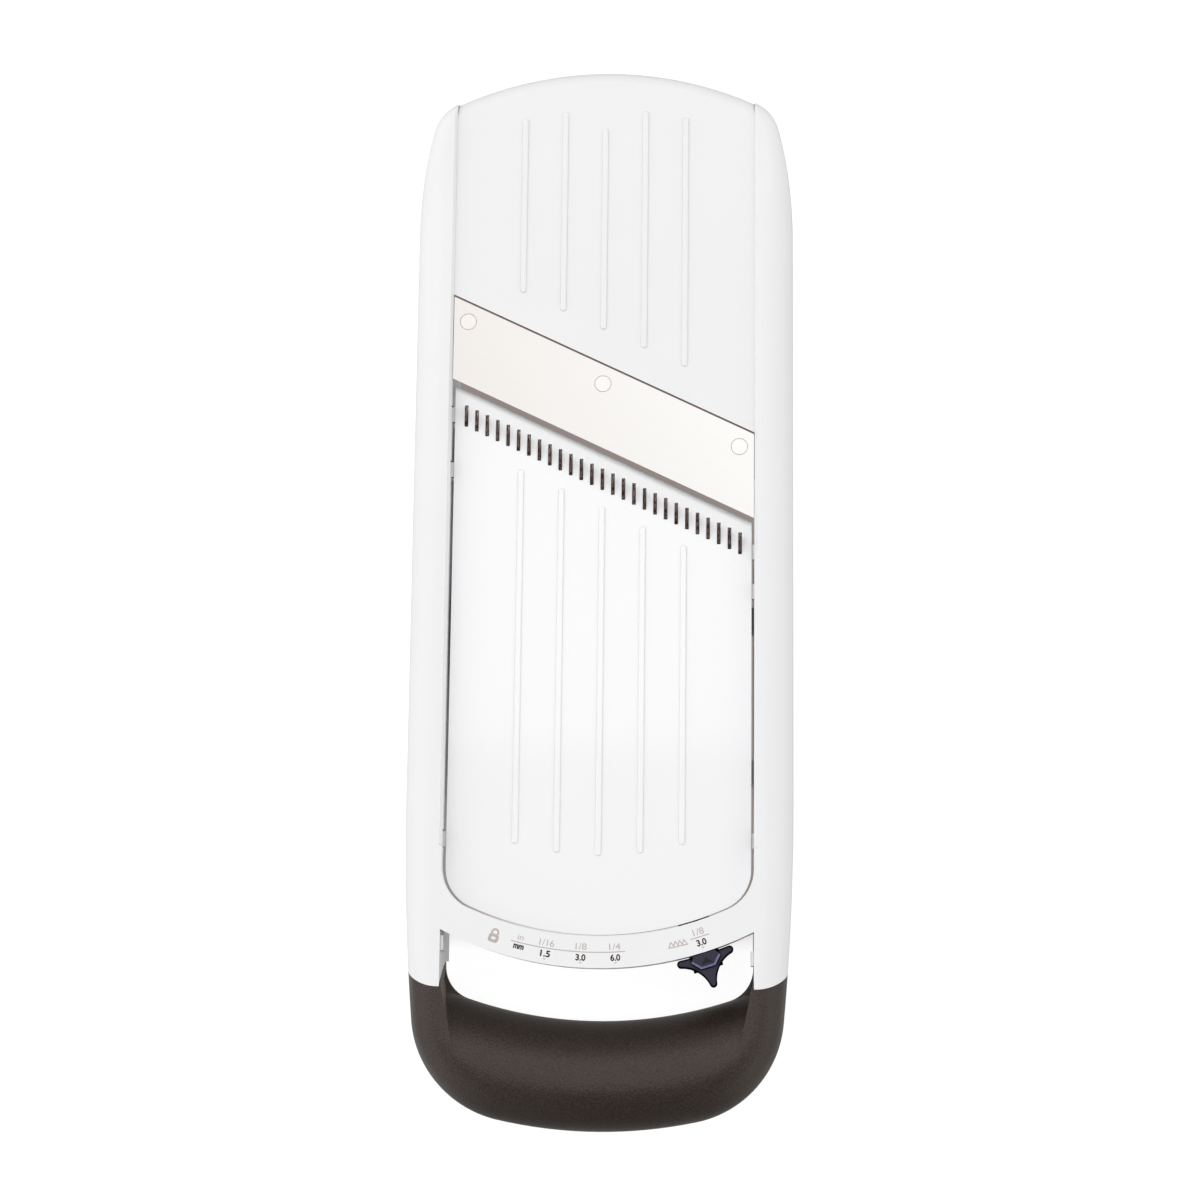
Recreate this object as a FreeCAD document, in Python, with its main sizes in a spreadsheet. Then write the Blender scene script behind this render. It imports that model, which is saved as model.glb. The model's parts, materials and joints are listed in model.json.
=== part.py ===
"""Hand-held mandoline slicer with a diagonal blade, an adjustable runway and a julienne comb.

Millimetres. X runs across the slicer, +Y points to the far end, -Y to the handle, +Z is up.
The origin is on the table, under the middle of the slicer. The lever is drawn at its julienne
setting: the runway 3 mm under the blade's edge and the comb raised.
"""
import FreeCAD, Part
import math
import os
import Sketcher

V = FreeCAD.Vector
UP = V(0, 0, 1)

SIZES = {
    # plan outline. Places along it are measured from the end that they lie nearer to
    "body_length": 320.4,
    "body_width": 114.4,
    "far_end_radius": 107.0,
    "far_corner_radius": 13.0,
    "far_flank_radius": 130.0,
    "far_flank_start": 52.2,
    "near_flank_start": 95.2,
    "near_flank_radius": 700.0,
    "near_corner_radius": 32.0,
    "near_end_radius": 138.0,
    # heights and walls
    "rail_top": 30.0,
    "deck_step": 1.5,
    "frame_lift": 3.0,
    "cut_margin": 3.0,
    "skin": 2.8,
    "deck_skin": 2.4,
    "channel_wall": 2.4,
    "rail_round": 9.0,
    "far_round": 5.0,
    "grip_round": 14.0,
    "base_round": 6.0,
    "cavity_round": 4.5,
    # channel, bridge and finger opening, placed from the handle's end
    "channel_width": 91.0,
    "channel_flare": 0.8,
    "bridge_front": 46.8,
    "bridge_radius": 101.0,
    "bridge_band": 9.1,
    "bridge_depth": 12.0,
    "aperture_corner": 13.0,
    "rail_cavity_end": 62.2,
    "finger_front": 31.9,
    "finger_radius": 123.0,
    "finger_corner": 10.0,
    "groove_angle": 23.0,
    "catch_proud": 0.8,
    "catch_base": 17.0,
    "catch_top": 28.5,
    "catch_length": 4.2,
    "catch_left": 51.7,
    "catch_right": 48.0,
    # grip, placed from the handle's end
    "parting_top": 41.2,
    "parting_foot": 48.9,
    "parting_radius": 42.0,
    "scoop_radius": 17.0,
    "scoop_turn": 43.7,
    "scoop_taper": 0.216,
    "under_round": 10.0,
    "under_bend": 14.0,
    "core_width": 12.0,
    "core_cover": 11.0,
    "core_base": 9.5,
    "core_height": 10.0,
    "core_arm_width": 4.0,
    "core_arm_shift": 0.8,
    "core_angle": 19.0,
    # blade. Its edge, the bosses, the tray and the upper lugs are placed from the lever's pivot
    "blade_angle": 25.25,
    "edge_at": 53.4,
    "blade_width": 23.5,
    "blade_thickness": 1.0,
    "bevel_width": 4.0,
    "edge_flat": 0.1,
    "seat_gap": 0.15,
    "ledge_width": 12.5,
    "beam_width": 9.0,
    "beam_depth": 13.0,
    "rivet_head": 4.8,
    "rivet_shank": 3.2,
    "rivet_length": 7.0,
    "rivet_inset": 5.7,
    "rivet_spread": 41.0,
    "rivet_gap": 0.12,
    # runway
    "slice_thickness": 3.0,
    "runway_thickness": 3.0,
    "runway_side_gap": 0.8,
    "runway_end_gap": 0.6,
    "throat_gap": 0.5,
    "lip_round": 2.4,
    "lug_length": 4.5,
    "lug_reach": 2.2,
    "lug_height": 2.2,
    "lug_drop": 0.5,
    "lug_gap": 0.4,
    "lug_left_far": 64.4,
    "lug_left_mid": 47.4,
    "lug_right_far": 22.4,
    "lug_right_mid": 10.4,
    "lug_near": 84.2,
    "leg_depth": 5.0,
    "leg_gap": 0.8,
    "leg_width": 8.0,
    # ribs
    "rib_pitch": 12.25,
    "rib_width": 1.8,
    "rib_height": 0.4,
    "rib_round": 0.3,
    "runway_rib_start": 17.6,
    "runway_rib_end": 23.0,
    "deck_rib_start": 10.5,
    "deck_rib_end": 13.0,
    "badge_clear": 19.0,
    # julienne comb
    "tooth_count": 27,
    "tooth_pitch": 3.175,
    "tooth_length": 5.2,
    "tooth_thickness": 0.6,
    "tooth_rise": 2.8,
    "tooth_slant": 2.4,
    "tooth_root": 2.0,
    "tooth_setback": 0.5,
    "slot_length": 6.6,
    "slot_width": 1.1,
    "comb_setback": 9.0,
    "carrier_inner": 3.5,
    "carrier_outer": 3.5,
    "carrier_half": 47.2,
    "carrier_height": 5.0,
    "carrier_gap": 1.0,
    "comb_stroke": 5.0,
    # lever and cam drum
    "lever_sweep": 37.2,
    "lever_rest": 17.9,
    "drum_radius": 36.0,
    "drum_wall": 2.5,
    "drum_inner_wall": 30.0,
    "drum_plate": 2.4,
    "drum_height": 10.8,
    "pin_diameter": 2.6,
    "pin_fit": 0.02,
    "pin_past": 0.4,
    "runway_pin_lift": 3.2,
    "comb_pin_lift": 1.4,
    "comb_pin_spread": 24.9,
    "cam_gap": 0.25,
    "cam_overrun": 3.5,
    "arm_width": 12.0,
    "arm_tip_width": 9.0,
    "head_gap": 0.5,
    "neck_depth": 4.0,
    "neck_width": 7.0,
    "tab_base": 22.0,
    "tab_edge": 28.4,
    "tab_crown": 29.8,
    "wing_spread": 7.4,
    "wing_round": 1.1,
    "tab_reach": 9.9,
    "tip_round": 1.1,
    "tab_waist": 9.0,
    "tab_edge_round": 0.5,
    "crown_gap": 0.25,
    "crown_back": 6.4,
    "crown_middle": 8.8,
    "crown_front": 4.2,
    "crown_shoulder": 1.8,
    "crown_depth": 4.2,
    "crown_bevel": 0.6,
    "mark_inset": 1.2,
    "mark_length": 1.8,
    "mark_width": 3.6,
    "mark_depth": 0.4,
    "nose_radius": 1.5,
    "click_run": 1.7,
    # settings of the lever, turned from its locked place
    "thin_turn": 9.6,
    "middle_turn": 15.8,
    "thick_turn": 21.7,
    # tray, pivot and fasteners
    "tray_base": 5.5,
    "tray_thickness": 2.5,
    "tray_gap": 0.6,
    "tray_near": 49.6,
    "spigot_diameter": 8.0,
    "spigot_fit": 0.06,
    "seat_diameter": 16.0,
    "seat_rise": 0.3,
    "drum_float": 0.2,
    "washer_diameter": 13.0,
    "washer_thickness": 0.8,
    "screw_shank": 3.0,
    "screw_fit": 0.02,
    "screw_head": 6.4,
    "screw_head_height": 2.0,
    "screw_length": 8.0,
    "boss_radius": 3.6,
    "boss_inset": 4.0,
    "boss_height": 8.0,
    "boss_near": -42.6,
    "boss_right_far": 3.4,
    "boss_left_far": 42.4,
    "post_diameter": 4.0,
    "post_fit": 0.06,
    "post_collar": 4.4,
    "post_setback": 7.1,
    "post_right": 37.5,
    "post_left": -36.5,
    # far foot
    "foot_angle": 40.0,
    "foot_width": 7.0,
    "foot_lip": 2.0,
    "foot_rise": 5.0,
    "foot_gap": 0.1,
}

doc = FreeCAD.newDocument("mandoline_slicer")
sheet = doc.addObject("Spreadsheet::Sheet", "sizes")
for row, (alias, number) in enumerate(SIZES.items(), start=1):
    sheet.set(f"A{row}", alias.replace("_", " "))
    sheet.set(f"B{row}", str(number))
    sheet.setAlias(f"B{row}", alias)
doc.recompute()


def formula_of(number):
    return number.formula if isinstance(number, Size) else repr(float(number))


class Size(float):
    """A number that also knows the sheet formula it comes from."""

    def __new__(cls, number, formula):
        size = super().__new__(cls, number)
        size.formula = formula
        return size

    def __add__(self, other):
        return Size(float(self) + other, f"({self.formula} + {formula_of(other)})")

    def __radd__(self, other):
        return Size(other + float(self), f"({formula_of(other)} + {self.formula})")

    def __sub__(self, other):
        return Size(float(self) - other, f"({self.formula} - {formula_of(other)})")

    def __rsub__(self, other):
        return Size(other - float(self), f"({formula_of(other)} - {self.formula})")

    def __mul__(self, other):
        return Size(float(self) * other, f"({self.formula} * {formula_of(other)})")

    def __rmul__(self, other):
        return Size(other * float(self), f"({formula_of(other)} * {self.formula})")

    def __truediv__(self, other):
        return Size(float(self) / other, f"({self.formula} / {formula_of(other)})")

    def __neg__(self):
        return Size(-float(self), f"(-{self.formula})")


def sine(angle):
    return Size(math.sin(math.radians(angle)), f"sin({formula_of(angle)})")


def cosine(angle):
    return Size(math.cos(math.radians(angle)), f"cos({formula_of(angle)})")


def tangent(angle):
    return Size(math.tan(math.radians(angle)), f"tan({formula_of(angle)})")


def root(number):
    return Size(math.sqrt(number), f"sqrt({formula_of(number)})")


class Sizes:
    """Every driving dimension of the sheet, as an attribute."""


size = Sizes()
for alias in SIZES:
    setattr(size, alias, Size(float(sheet.get(alias)), f"sizes.{alias}"))

# Levels and places that several pieces share
half_width = size.body_width / 2
half_length = size.body_length / 2
deck_top = size.rail_top - size.deck_step
channel_half = size.channel_width / 2
near_end = -half_length
pivot_y = near_end + size.bridge_front + size.bridge_radius
finger_y = near_end + size.finger_front + size.finger_radius
edge_y = pivot_y + size.edge_at
near_flank_y = near_end + size.near_flank_start
far_flank_y = half_length - size.far_flank_start
far_end_y = half_length - size.far_end_radius
blade_sin = sine(size.blade_angle)
blade_cos = cosine(size.blade_angle)
blade_tan = tangent(size.blade_angle)
blade_base = deck_top - size.blade_thickness
runway_top = deck_top - size.slice_thickness
runway_base = runway_top - size.runway_thickness
runway_half = channel_half - size.runway_side_gap
runway_end_radius = size.bridge_radius - size.bridge_band - size.runway_end_gap
comb_y = edge_y - size.comb_setback
carrier_top = runway_base - size.carrier_gap
carrier_base = carrier_top - size.carrier_height
tray_top = size.tray_base + size.tray_thickness
drum_base = tray_top + size.seat_rise + size.drum_float
drum_floor = drum_base + size.drum_plate
comb_reach = (comb_y - pivot_y) * blade_cos
foot_of_comb = comb_reach * blade_sin


def placed(x=0, y=0, z=0, turn=0):
    return FreeCAD.Placement(V(x, y, z), FreeCAD.Rotation(UP, turn))


def bind(feature, **properties):
    """Sets properties from sizes, keeping each one tied to the sheet. a__b stands for a.b."""
    for name, number in properties.items():
        path = name.replace("__", ".")
        feature.setExpression(path, formula_of(number))
    return feature


def bind_place(feature, x=None, y=None, z=None):
    for axis, number in (("x", x), ("y", y), ("z", z)):
        if number is not None:
            feature.setExpression(f"Placement.Base.{axis}", formula_of(number))
    return feature


def new(kind, name):
    return doc.addObject(kind, name)


def box(name, x, y, z):
    """A block between pairs of X, Y and Z."""
    block = new("Part::Box", name)
    bind(block, Length=x[1] - x[0], Width=y[1] - y[0], Height=z[1] - z[0])
    return bind_place(block, x[0], y[0], z[0])


def rod(name, radius, height, x=0, y=0, z=0):
    rod = new("Part::Cylinder", name)
    bind(rod, Radius=radius, Height=height)
    return bind_place(rod, x, y, z)


def fuse(name, *shapes):
    fusion = new("Part::MultiFuse", name)
    fusion.Shapes = list(shapes)
    fusion.Refine = True
    return fusion


def cut(name, base, *tools):
    tool = tools[0] if len(tools) == 1 else fuse(f"{name}_tools", *tools)
    difference = new("Part::Cut", name)
    difference.Base = base
    difference.Tool = tool
    difference.Refine = True
    return difference


def common(name, base, tool):
    overlap = new("Part::Common", name)
    overlap.Base = base
    overlap.Tool = tool
    overlap.Refine = True
    return overlap


def group(name, *shapes):
    compound = new("Part::Compound", name)
    compound.Links = list(shapes)
    return compound


def sketch(name, body=None, role="XY_Plane"):
    """A sketch by itself, or one on an origin plane of a body."""
    if body is None:
        return new("Sketcher::SketchObject", name)
    profile = body.newObject("Sketcher::SketchObject", name)
    plane = next(item for item in body.Origin.OriginFeatures if item.Role == role)
    profile.AttachmentSupport = [(plane, "")]
    profile.MapMode = "FlatFace"
    return profile


def fix(profile, kind, number, *where):
    """Adds a dimension to a sketch and ties it to the sheet."""
    index = profile.addConstraint(Sketcher.Constraint(kind, *where, float(number)))
    if isinstance(number, Size):
        profile.setExpression(f"Constraints[{index}]", number.formula)


def arc_between(start, end, radius):
    """The arc of under a half circle from start to end, left-hand when the radius is positive."""
    chord = end - start
    middle = (start + end) * 0.5
    left = V(-chord.y, chord.x, 0).normalize()
    reach = math.sqrt(radius ** 2 - (chord.Length / 2) ** 2)
    side = 1 if radius > 0 else -1
    centre = middle + left * reach * side
    bulge = centre - left * abs(radius) * side
    return Part.Arc(start, bulge, end)


def outline(profile, corners):
    """Draws a closed outline. A corner is (x, y), or (x, y, radius) where an arc follows it."""
    first = profile.GeometryCount
    points = [V(corner[0], corner[1], 0) for corner in corners]
    total = len(corners)
    for index, corner in enumerate(corners):
        start, end = points[index], points[(index + 1) % total]
        if len(corner) == 3:
            profile.addGeometry(arc_between(start, end, corner[2]))
        else:
            profile.addGeometry(Part.LineSegment(start, end))
    ends = []
    for index, corner in enumerate(corners):
        anticlockwise = len(corner) < 3 or corner[2] > 0
        ends.append((1, 2) if anticlockwise else (2, 1))
    for index in range(total):
        after = (index + 1) % total
        where = (first + index, ends[index][1], first + after, ends[after][0])
        profile.addConstraint(Sketcher.Constraint("Coincident", *where))
    for index, corner in enumerate(corners):
        spot = (-1, 1, first + index, ends[index][0])
        fix(profile, "DistanceX", corner[0], *spot)
        fix(profile, "DistanceY", corner[1], *spot)
        if len(corner) == 3:
            radius = corner[2] if corner[2] > 0 else -corner[2]
            fix(profile, "Radius", radius, first + index)
    return profile


def circle(profile, x, y, radius):
    index = profile.addGeometry(Part.Circle(V(x, y, 0), UP, float(radius)))
    fix(profile, "Radius", radius, index)
    fix(profile, "DistanceX", x, -1, 1, index, 3)
    fix(profile, "DistanceY", y, -1, 1, index, 3)
    return profile


def stadium(profile, x, low, high, width):
    """A slot along Y with round ends, given between its end points."""
    half = width / 2
    first = profile.GeometryCount
    top, foot = high - half, low + half
    profile.addGeometry(Part.LineSegment(V(x + half, foot, 0), V(x + half, top, 0)))
    profile.addGeometry(Part.ArcOfCircle(Part.Circle(V(x, top, 0), UP, half), 0, math.pi))
    profile.addGeometry(Part.LineSegment(V(x - half, top, 0), V(x - half, foot, 0)))
    profile.addGeometry(Part.ArcOfCircle(Part.Circle(V(x, foot, 0), UP, half), math.pi, 2 * math.pi))
    for index in range(4):
        where = (first + index, 2, first + (index + 1) % 4, 1)
        profile.addConstraint(Sketcher.Constraint("Tangent", *where))
    fix(profile, "Radius", half, first + 1)
    fix(profile, "DistanceX", x, -1, 1, first + 1, 3)
    fix(profile, "DistanceY", top, -1, 1, first + 1, 3)
    fix(profile, "DistanceX", x, -1, 1, first + 3, 3)
    fix(profile, "DistanceY", foot, -1, 1, first + 3, 3)
    return profile


def extrude(name, profile, base, top):
    """A prism of a flat sketch between two heights."""
    bind_place(profile, z=base)
    prism = new("Part::Extrusion", name)
    prism.Base = profile
    prism.DirMode = "Custom"
    prism.Dir = UP
    prism.Solid = True
    return bind(prism, LengthFwd=top - base)


def turned(name, profile, x, y, turn=360):
    """A solid turned about an upright axis from a sketch of (radius, height)."""
    profile.Placement = FreeCAD.Placement(V(x, y, 0), FreeCAD.Rotation(V(1, 0, 0), 90))
    bind_place(profile, x, y)
    solid = new("Part::Revolution", name)
    solid.Source = profile
    solid.Axis = UP
    solid.Base = V(x, y, 0)
    solid.setExpression("Base.y", formula_of(y))
    solid.Solid = True
    return bind(solid, Angle=turn)


def meeting_point(first, reach, second, other_reach, side):
    """Where two circles about two centres cross, on the left (1) or right (-1) of their line."""
    line = second - first
    along = (reach ** 2 - other_reach ** 2 + line.Length ** 2) / (2 * line.Length)
    across = math.sqrt(reach ** 2 - along ** 2)
    line.normalize()
    return first + line * along + V(-line.y, line.x, 0) * across * side


def touching_point(outer, centre, radius):
    """The point of a circle that lies furthest from another circle's centre."""
    return centre + (centre - outer).normalize() * radius


def body_outline(name):
    """The rounded plan of the whole slicer, as a chain of tangent arcs and two straight sides."""
    far_centre = V(0, far_end_y, 0)
    flank_centre = V(half_width - size.far_flank_radius, far_flank_y, 0)
    far_corner = meeting_point(far_centre, size.far_end_radius - size.far_corner_radius,
                               flank_centre, size.far_flank_radius - size.far_corner_radius, -1)
    near_centre = V(0, near_end + size.near_end_radius, 0)
    near_flank = V(half_width - size.near_flank_radius, near_flank_y, 0)
    near_corner = meeting_point(near_centre, size.near_end_radius - size.near_corner_radius,
                                near_flank, size.near_flank_radius - size.near_corner_radius, 1)
    right = [
        touching_point(near_centre, near_corner, size.near_corner_radius),
        touching_point(near_flank, near_corner, size.near_corner_radius),
        V(half_width, near_flank_y, 0),
        V(half_width, far_flank_y, 0),
        touching_point(flank_centre, far_corner, size.far_corner_radius),
        touching_point(far_centre, far_corner, size.far_corner_radius),
    ]
    bends = [size.near_corner_radius, size.near_flank_radius, None, size.far_flank_radius,
             size.far_corner_radius, size.far_end_radius]
    left = [V(-point.x, point.y, 0) for point in reversed(right)]
    left_bends = list(reversed(bends[:-1])) + [size.near_end_radius]
    corners = []
    for point, bend in zip(right + left, bends + left_bends):
        corners.append((point.x, point.y) if bend is None else (point.x, point.y, bend))
    return outline(sketch(name), corners)


def rounded_edges(shape, height, radius_at):
    """The edges at a height, each with its rounding at both ends."""
    rounding = []
    for index, edge in enumerate(shape.Edges, start=1):
        heights = [vertex.Z for vertex in edge.Vertexes]
        if max(abs(value - height) for value in heights) < 1e-6:
            start, end = edge.valueAt(edge.FirstParameter), edge.valueAt(edge.LastParameter)
            rounding.append((index, radius_at(start), radius_at(end)))
    return rounding


def rounded(name, base, height, radius_at, kind="Part::Fillet"):
    doc.recompute()
    softened = new(kind, name)
    softened.Base = base
    softened.Edges = rounded_edges(base.Shape, height, radius_at)
    doc.recompute()
    return softened


def new_body(name):
    return new("PartDesign::Body", name)


def body_sketch(body, name, height=0, turn=0, x=0, y=0):
    """A sketch on the body's ground plane, raised, turned and moved to its place."""
    profile = sketch(name, body)
    profile.AttachmentOffset = placed(float(x), float(y), float(height), float(turn))
    for axis, number in (("x", x), ("y", y), ("z", height)):
        profile.setExpression(f"AttachmentOffset.Base.{axis}", formula_of(number))
    return profile


def pad(body, profile, length):
    feature = body.newObject("PartDesign::Pad", f"{profile.Name}_pad")
    feature.Profile = profile
    return bind(feature, Length=length)


def pocket(body, profile):
    """Cuts a sketch down through the whole body."""
    feature = body.newObject("PartDesign::Pocket", f"{profile.Name}_pocket")
    feature.Profile = profile
    feature.Type = "ThroughAll"
    return feature


def dress_edges(body, kind, name, chosen, **amount):
    """Rounds (Fillet) or bevels (Chamfer) the edges of a body whose ends all pass a test."""
    doc.recompute()
    base = body.Tip
    names = []
    for index, edge in enumerate(base.Shape.Edges, start=1):
        if all(chosen(vertex.Point) for vertex in edge.Vertexes):
            names.append(f"Edge{index}")
    feature = body.newObject(f"PartDesign::{kind}", name)
    feature.Base = (base, names)
    bind(feature, **amount)
    doc.recompute()
    return feature


def blade_line(across):
    """Y of the line parallel to the blade's edge that lies this far behind it, for an X."""
    return lambda x: edge_y + across / blade_cos - blade_tan * x


def near_arc_plan(profile, half, corner, radius, centre_y, left_top, right_top):
    """Straight sides that end in two round corners and one wide arc towards the handle."""
    inner = half - corner
    drop = root((radius - corner) * (radius - corner) - inner * inner)
    share = radius / (radius - corner)
    side_y = centre_y - drop
    touch_x = inner * share
    touch_y = centre_y - drop * share
    return outline(profile, [
        (-half, left_top),
        (-half, side_y, corner),
        (-touch_x, touch_y, radius),
        (touch_x, touch_y, corner),
        (half, side_y),
        (half, right_top),
    ])


def band_plan(profile, half, from_line, to_line):
    """The strip across the channel between two lines parallel to the blade."""
    near, far = blade_line(from_line), blade_line(to_line)
    return outline(profile, [
        (-half, near(-half)),
        (half, near(half)),
        (half, far(half)),
        (-half, far(-half)),
    ])


def deck_plan(profile, half, from_line):
    """Everything between a line parallel to the blade and the far end."""
    near = blade_line(from_line)
    beyond = half_length + size.skin
    return outline(profile, [
        (-half, near(-half)),
        (half, near(half)),
        (half, beyond),
        (-half, beyond),
    ])


def ring_plan(profile, centre_y, inner, outer, half_angle):
    """A piece of ring about a point of the centre line, on its handle side."""
    return outline(profile, [
        (-(outer * sine(half_angle)), centre_y - outer * cosine(half_angle), outer),
        (outer * sine(half_angle), centre_y - outer * cosine(half_angle)),
        (inner * sine(half_angle), centre_y - inner * cosine(half_angle), -inner),
        (-(inner * sine(half_angle)), centre_y - inner * cosine(half_angle)),
    ])


def across_prism(name, profile, half):
    """A prism along X of a sketch drawn in Y and Z."""
    turn = FreeCAD.Rotation(V(0, 1, 0), UP, V(1, 0, 0), "XYZ")
    profile.Placement = FreeCAD.Placement(V(), turn)
    return both_ways(name, profile, V(1, 0, 0), half)


def both_ways(name, profile, direction, half):
    prism = new("Part::Extrusion", name)
    prism.Base = profile
    prism.DirMode = "Custom"
    prism.Dir = direction
    prism.Solid = True
    return bind(prism, LengthFwd=half, LengthRev=half)


def spoke(name, radius, inner, outer, angle, height):
    """A rod that points away from the lever's pivot."""
    heading = V(math.cos(math.radians(angle)), math.sin(math.radians(angle)), 0)
    pin = new("Part::Cylinder", name)
    pin.Placement = FreeCAD.Placement(V(), FreeCAD.Rotation(UP, heading))
    bind(pin, Radius=radius, Height=outer - inner)
    return bind_place(pin, inner * cosine(angle), pivot_y + inner * sine(angle), height)


def rounded_block(name, top, radius_at):
    """The outline raised from the table to a height, with its upper and lower edges rounded."""
    block = extrude(f"{name}_block", body_outline(f"{name}_outline"), Size(0, "0"), top)
    softened = rounded(f"{name}_top", block, float(top), radius_at)
    return rounded(name, softened, 0.0, lambda point: float(size.base_round))


def body_rounding(point):
    """Upper edge rounding: slight at the far end, fuller on the rails, fullest on the grip."""
    if point.y > far_flank_y + size.skin:
        return float(size.far_round)
    if point.y < near_end + size.near_corner_radius / 2:
        return float(size.grip_round)
    return float(size.rail_round)


low, high = -size.cut_margin, size.rail_top + size.cut_margin
whole_body = rounded_block("whole_body", size.rail_top, body_rounding)


def parting():
    """Everything on the handle's side of the curved seam between the rails and the grip."""
    top, foot = near_end + size.parting_top, near_end + size.parting_foot
    seam = outline(sketch("seam_profile"), [
        (top, size.rail_top, -size.parting_radius),
        (foot, Size(0, "0")),
        (foot, low),
        (-size.body_length, low),
        (-size.body_length, high),
        (top, high),
    ])
    return across_prism("grip_side", seam, size.body_width)


grip_side = parting()


def handle_core():
    """The stiff loop of the frame that the grip is moulded over."""
    inner = size.finger_radius + size.core_cover
    middle = inner + size.core_width / 2
    half_angle = size.core_angle
    base, top = size.core_base, size.core_base + size.core_height
    loop_plan = ring_plan(sketch("core_plan"), finger_y, inner, inner + size.core_width, half_angle)
    loop = extrude("core_loop", loop_plan, base, top)
    half = size.core_arm_width / 2
    root_x = (half_width + channel_half) / 2 - size.core_arm_shift
    root_y = near_end + size.rail_cavity_end - size.core_width / 2
    end_x, end_y = middle * sine(half_angle), finger_y - middle * cosine(half_angle)
    arms = []
    for side in (-1, 1):
        arm = outline(sketch("core_arm_plan"), [
            (side * root_x - half, root_y),
            (side * end_x - half, end_y),
            (side * end_x + half, end_y),
            (side * root_x + half, root_y),
        ])
        arms.append(extrude("core_arm", arm, base, top))
    return fuse("handle_core", loop, *arms)


core = handle_core()


def rivet_spots():
    """Centres of the three rivets, along the blade."""
    line = blade_line(size.blade_width - size.rivet_inset)
    return [(x, line(x)) for x in (-size.rivet_spread, Size(0, "0"), size.rivet_spread)]


def boss_spots():
    """Centres of the four screw bosses on the channel walls."""
    inset = channel_half - size.boss_inset
    near = pivot_y + size.boss_near
    return [(-inset, near), (inset, near),
            (inset, pivot_y + size.boss_right_far), (-inset, pivot_y + size.boss_left_far)]


def lug_spots():
    """Side and Y of the runway's lugs."""
    near = near_end + size.lug_near
    return [(-1, pivot_y + size.lug_left_far), (-1, pivot_y + size.lug_left_mid), (-1, near),
            (1, pivot_y + size.lug_right_far), (1, pivot_y + size.lug_right_mid), (1, near)]


def rib_places(steps=2):
    return [size.rib_pitch * step for step in range(-steps, steps + 1)]


def setting_angles():
    """Where the lever clicks, turned about the pivot from the handle's direction."""
    lock = size.lever_rest - size.lever_sweep
    turns = (size.thin_turn, size.middle_turn, size.thick_turn, size.lever_sweep)
    return [lock] + [lock + turn for turn in turns]


def catches():
    """The two low pads on the rails' inner walls, beside the finger opening."""
    heights = (size.catch_base, size.catch_top)
    inner, outer = channel_half - size.catch_proud, channel_half + size.skin
    left, right = near_end + size.catch_left, near_end + size.catch_right
    pads = fuse("catch_pads", box("catch_left", (-outer, -inner), (left, left + size.catch_length), heights),
                box("catch_right", (inner, outer), (right, right + size.catch_length), heights))
    return cut("catches", pads, grip_side)


def deck():
    """The fixed outfeed deck with its blade seat and its five ribs."""
    ledge = size.blade_width - size.ledge_width
    block = rounded_block("deck_body", deck_top, lambda point: float(size.far_round))
    plan = deck_plan(sketch("deck_plan"), channel_half + size.channel_flare, ledge)
    slab = common("deck_slab", block, extrude("deck_zone", plan, Size(0, "0"), high))
    seat_plan = band_plan(sketch("seat_plan"), channel_half, ledge - size.skin,
                          size.blade_width + size.seat_gap)
    seat = extrude("blade_seat", seat_plan, blade_base, high)
    line = blade_line(size.blade_width + size.deck_rib_start * blade_cos)
    ribs = sketch("deck_ribs_plan")
    for x in rib_places():
        badge = size.badge_clear if x == 0 else size.deck_rib_end
        reach = root(size.far_end_radius * size.far_end_radius - x * x)
        stadium(ribs, x, line(x), far_end_y + reach - badge, size.rib_width)
    raised = extrude("deck_ribs_block", ribs, deck_top - size.rib_height, deck_top + size.rib_height)
    crown = rounded("deck_ribs", raised, float(deck_top + size.rib_height),
                    lambda point: float(size.rib_round), "Part::Chamfer")
    return fuse("deck", cut("deck_seated", slab, seat), crown)


def frame_cavity():
    """The hollow under the deck and inside the two rails, with ribs left standing in it."""
    top = deck_top - size.deck_skin
    inset = new("Part::Offset2D", "cavity_outline")
    inset.Source = bind_place(body_outline("cavity_source"), z=low)
    bind(inset, Value=-size.skin)
    block = new("Part::Extrusion", "cavity_block")
    block.Base = inset
    block.DirMode = "Custom"
    block.Dir = UP
    block.Solid = True
    bind(block, LengthFwd=top - low)
    softened = rounded("cavity_soft", block, float(top), lambda point: float(size.cavity_round))
    beam = size.blade_width - size.ledge_width + size.beam_width
    under_deck = extrude("cavity_deck_zone", deck_plan(sketch("cavity_deck_plan"), half_width, beam),
                         low, size.rail_top)
    zones = []
    for side in (-1, 1):
        near = channel_half + size.channel_wall
        x = (near, half_width) if side > 0 else (-half_width, -near)
        zones.append(box("rail_zone", x, (near_end + size.rail_cavity_end, half_length),
                         (low, size.rail_top)))
    hollow = common("hollow", softened, fuse("hollow_zones", under_deck, *zones))
    stiffeners = []
    for step in (-1, 0, 1):
        x = size.rib_pitch * 2 * step
        half = size.rib_width / 2
        stiffeners.append(box("stiffener", (x - half, x + half), (Size(0, "0"), half_length),
                              (top - size.beam_depth / 2, size.rail_top)))
    return cut("frame_hollow", hollow, *stiffeners)


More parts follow.
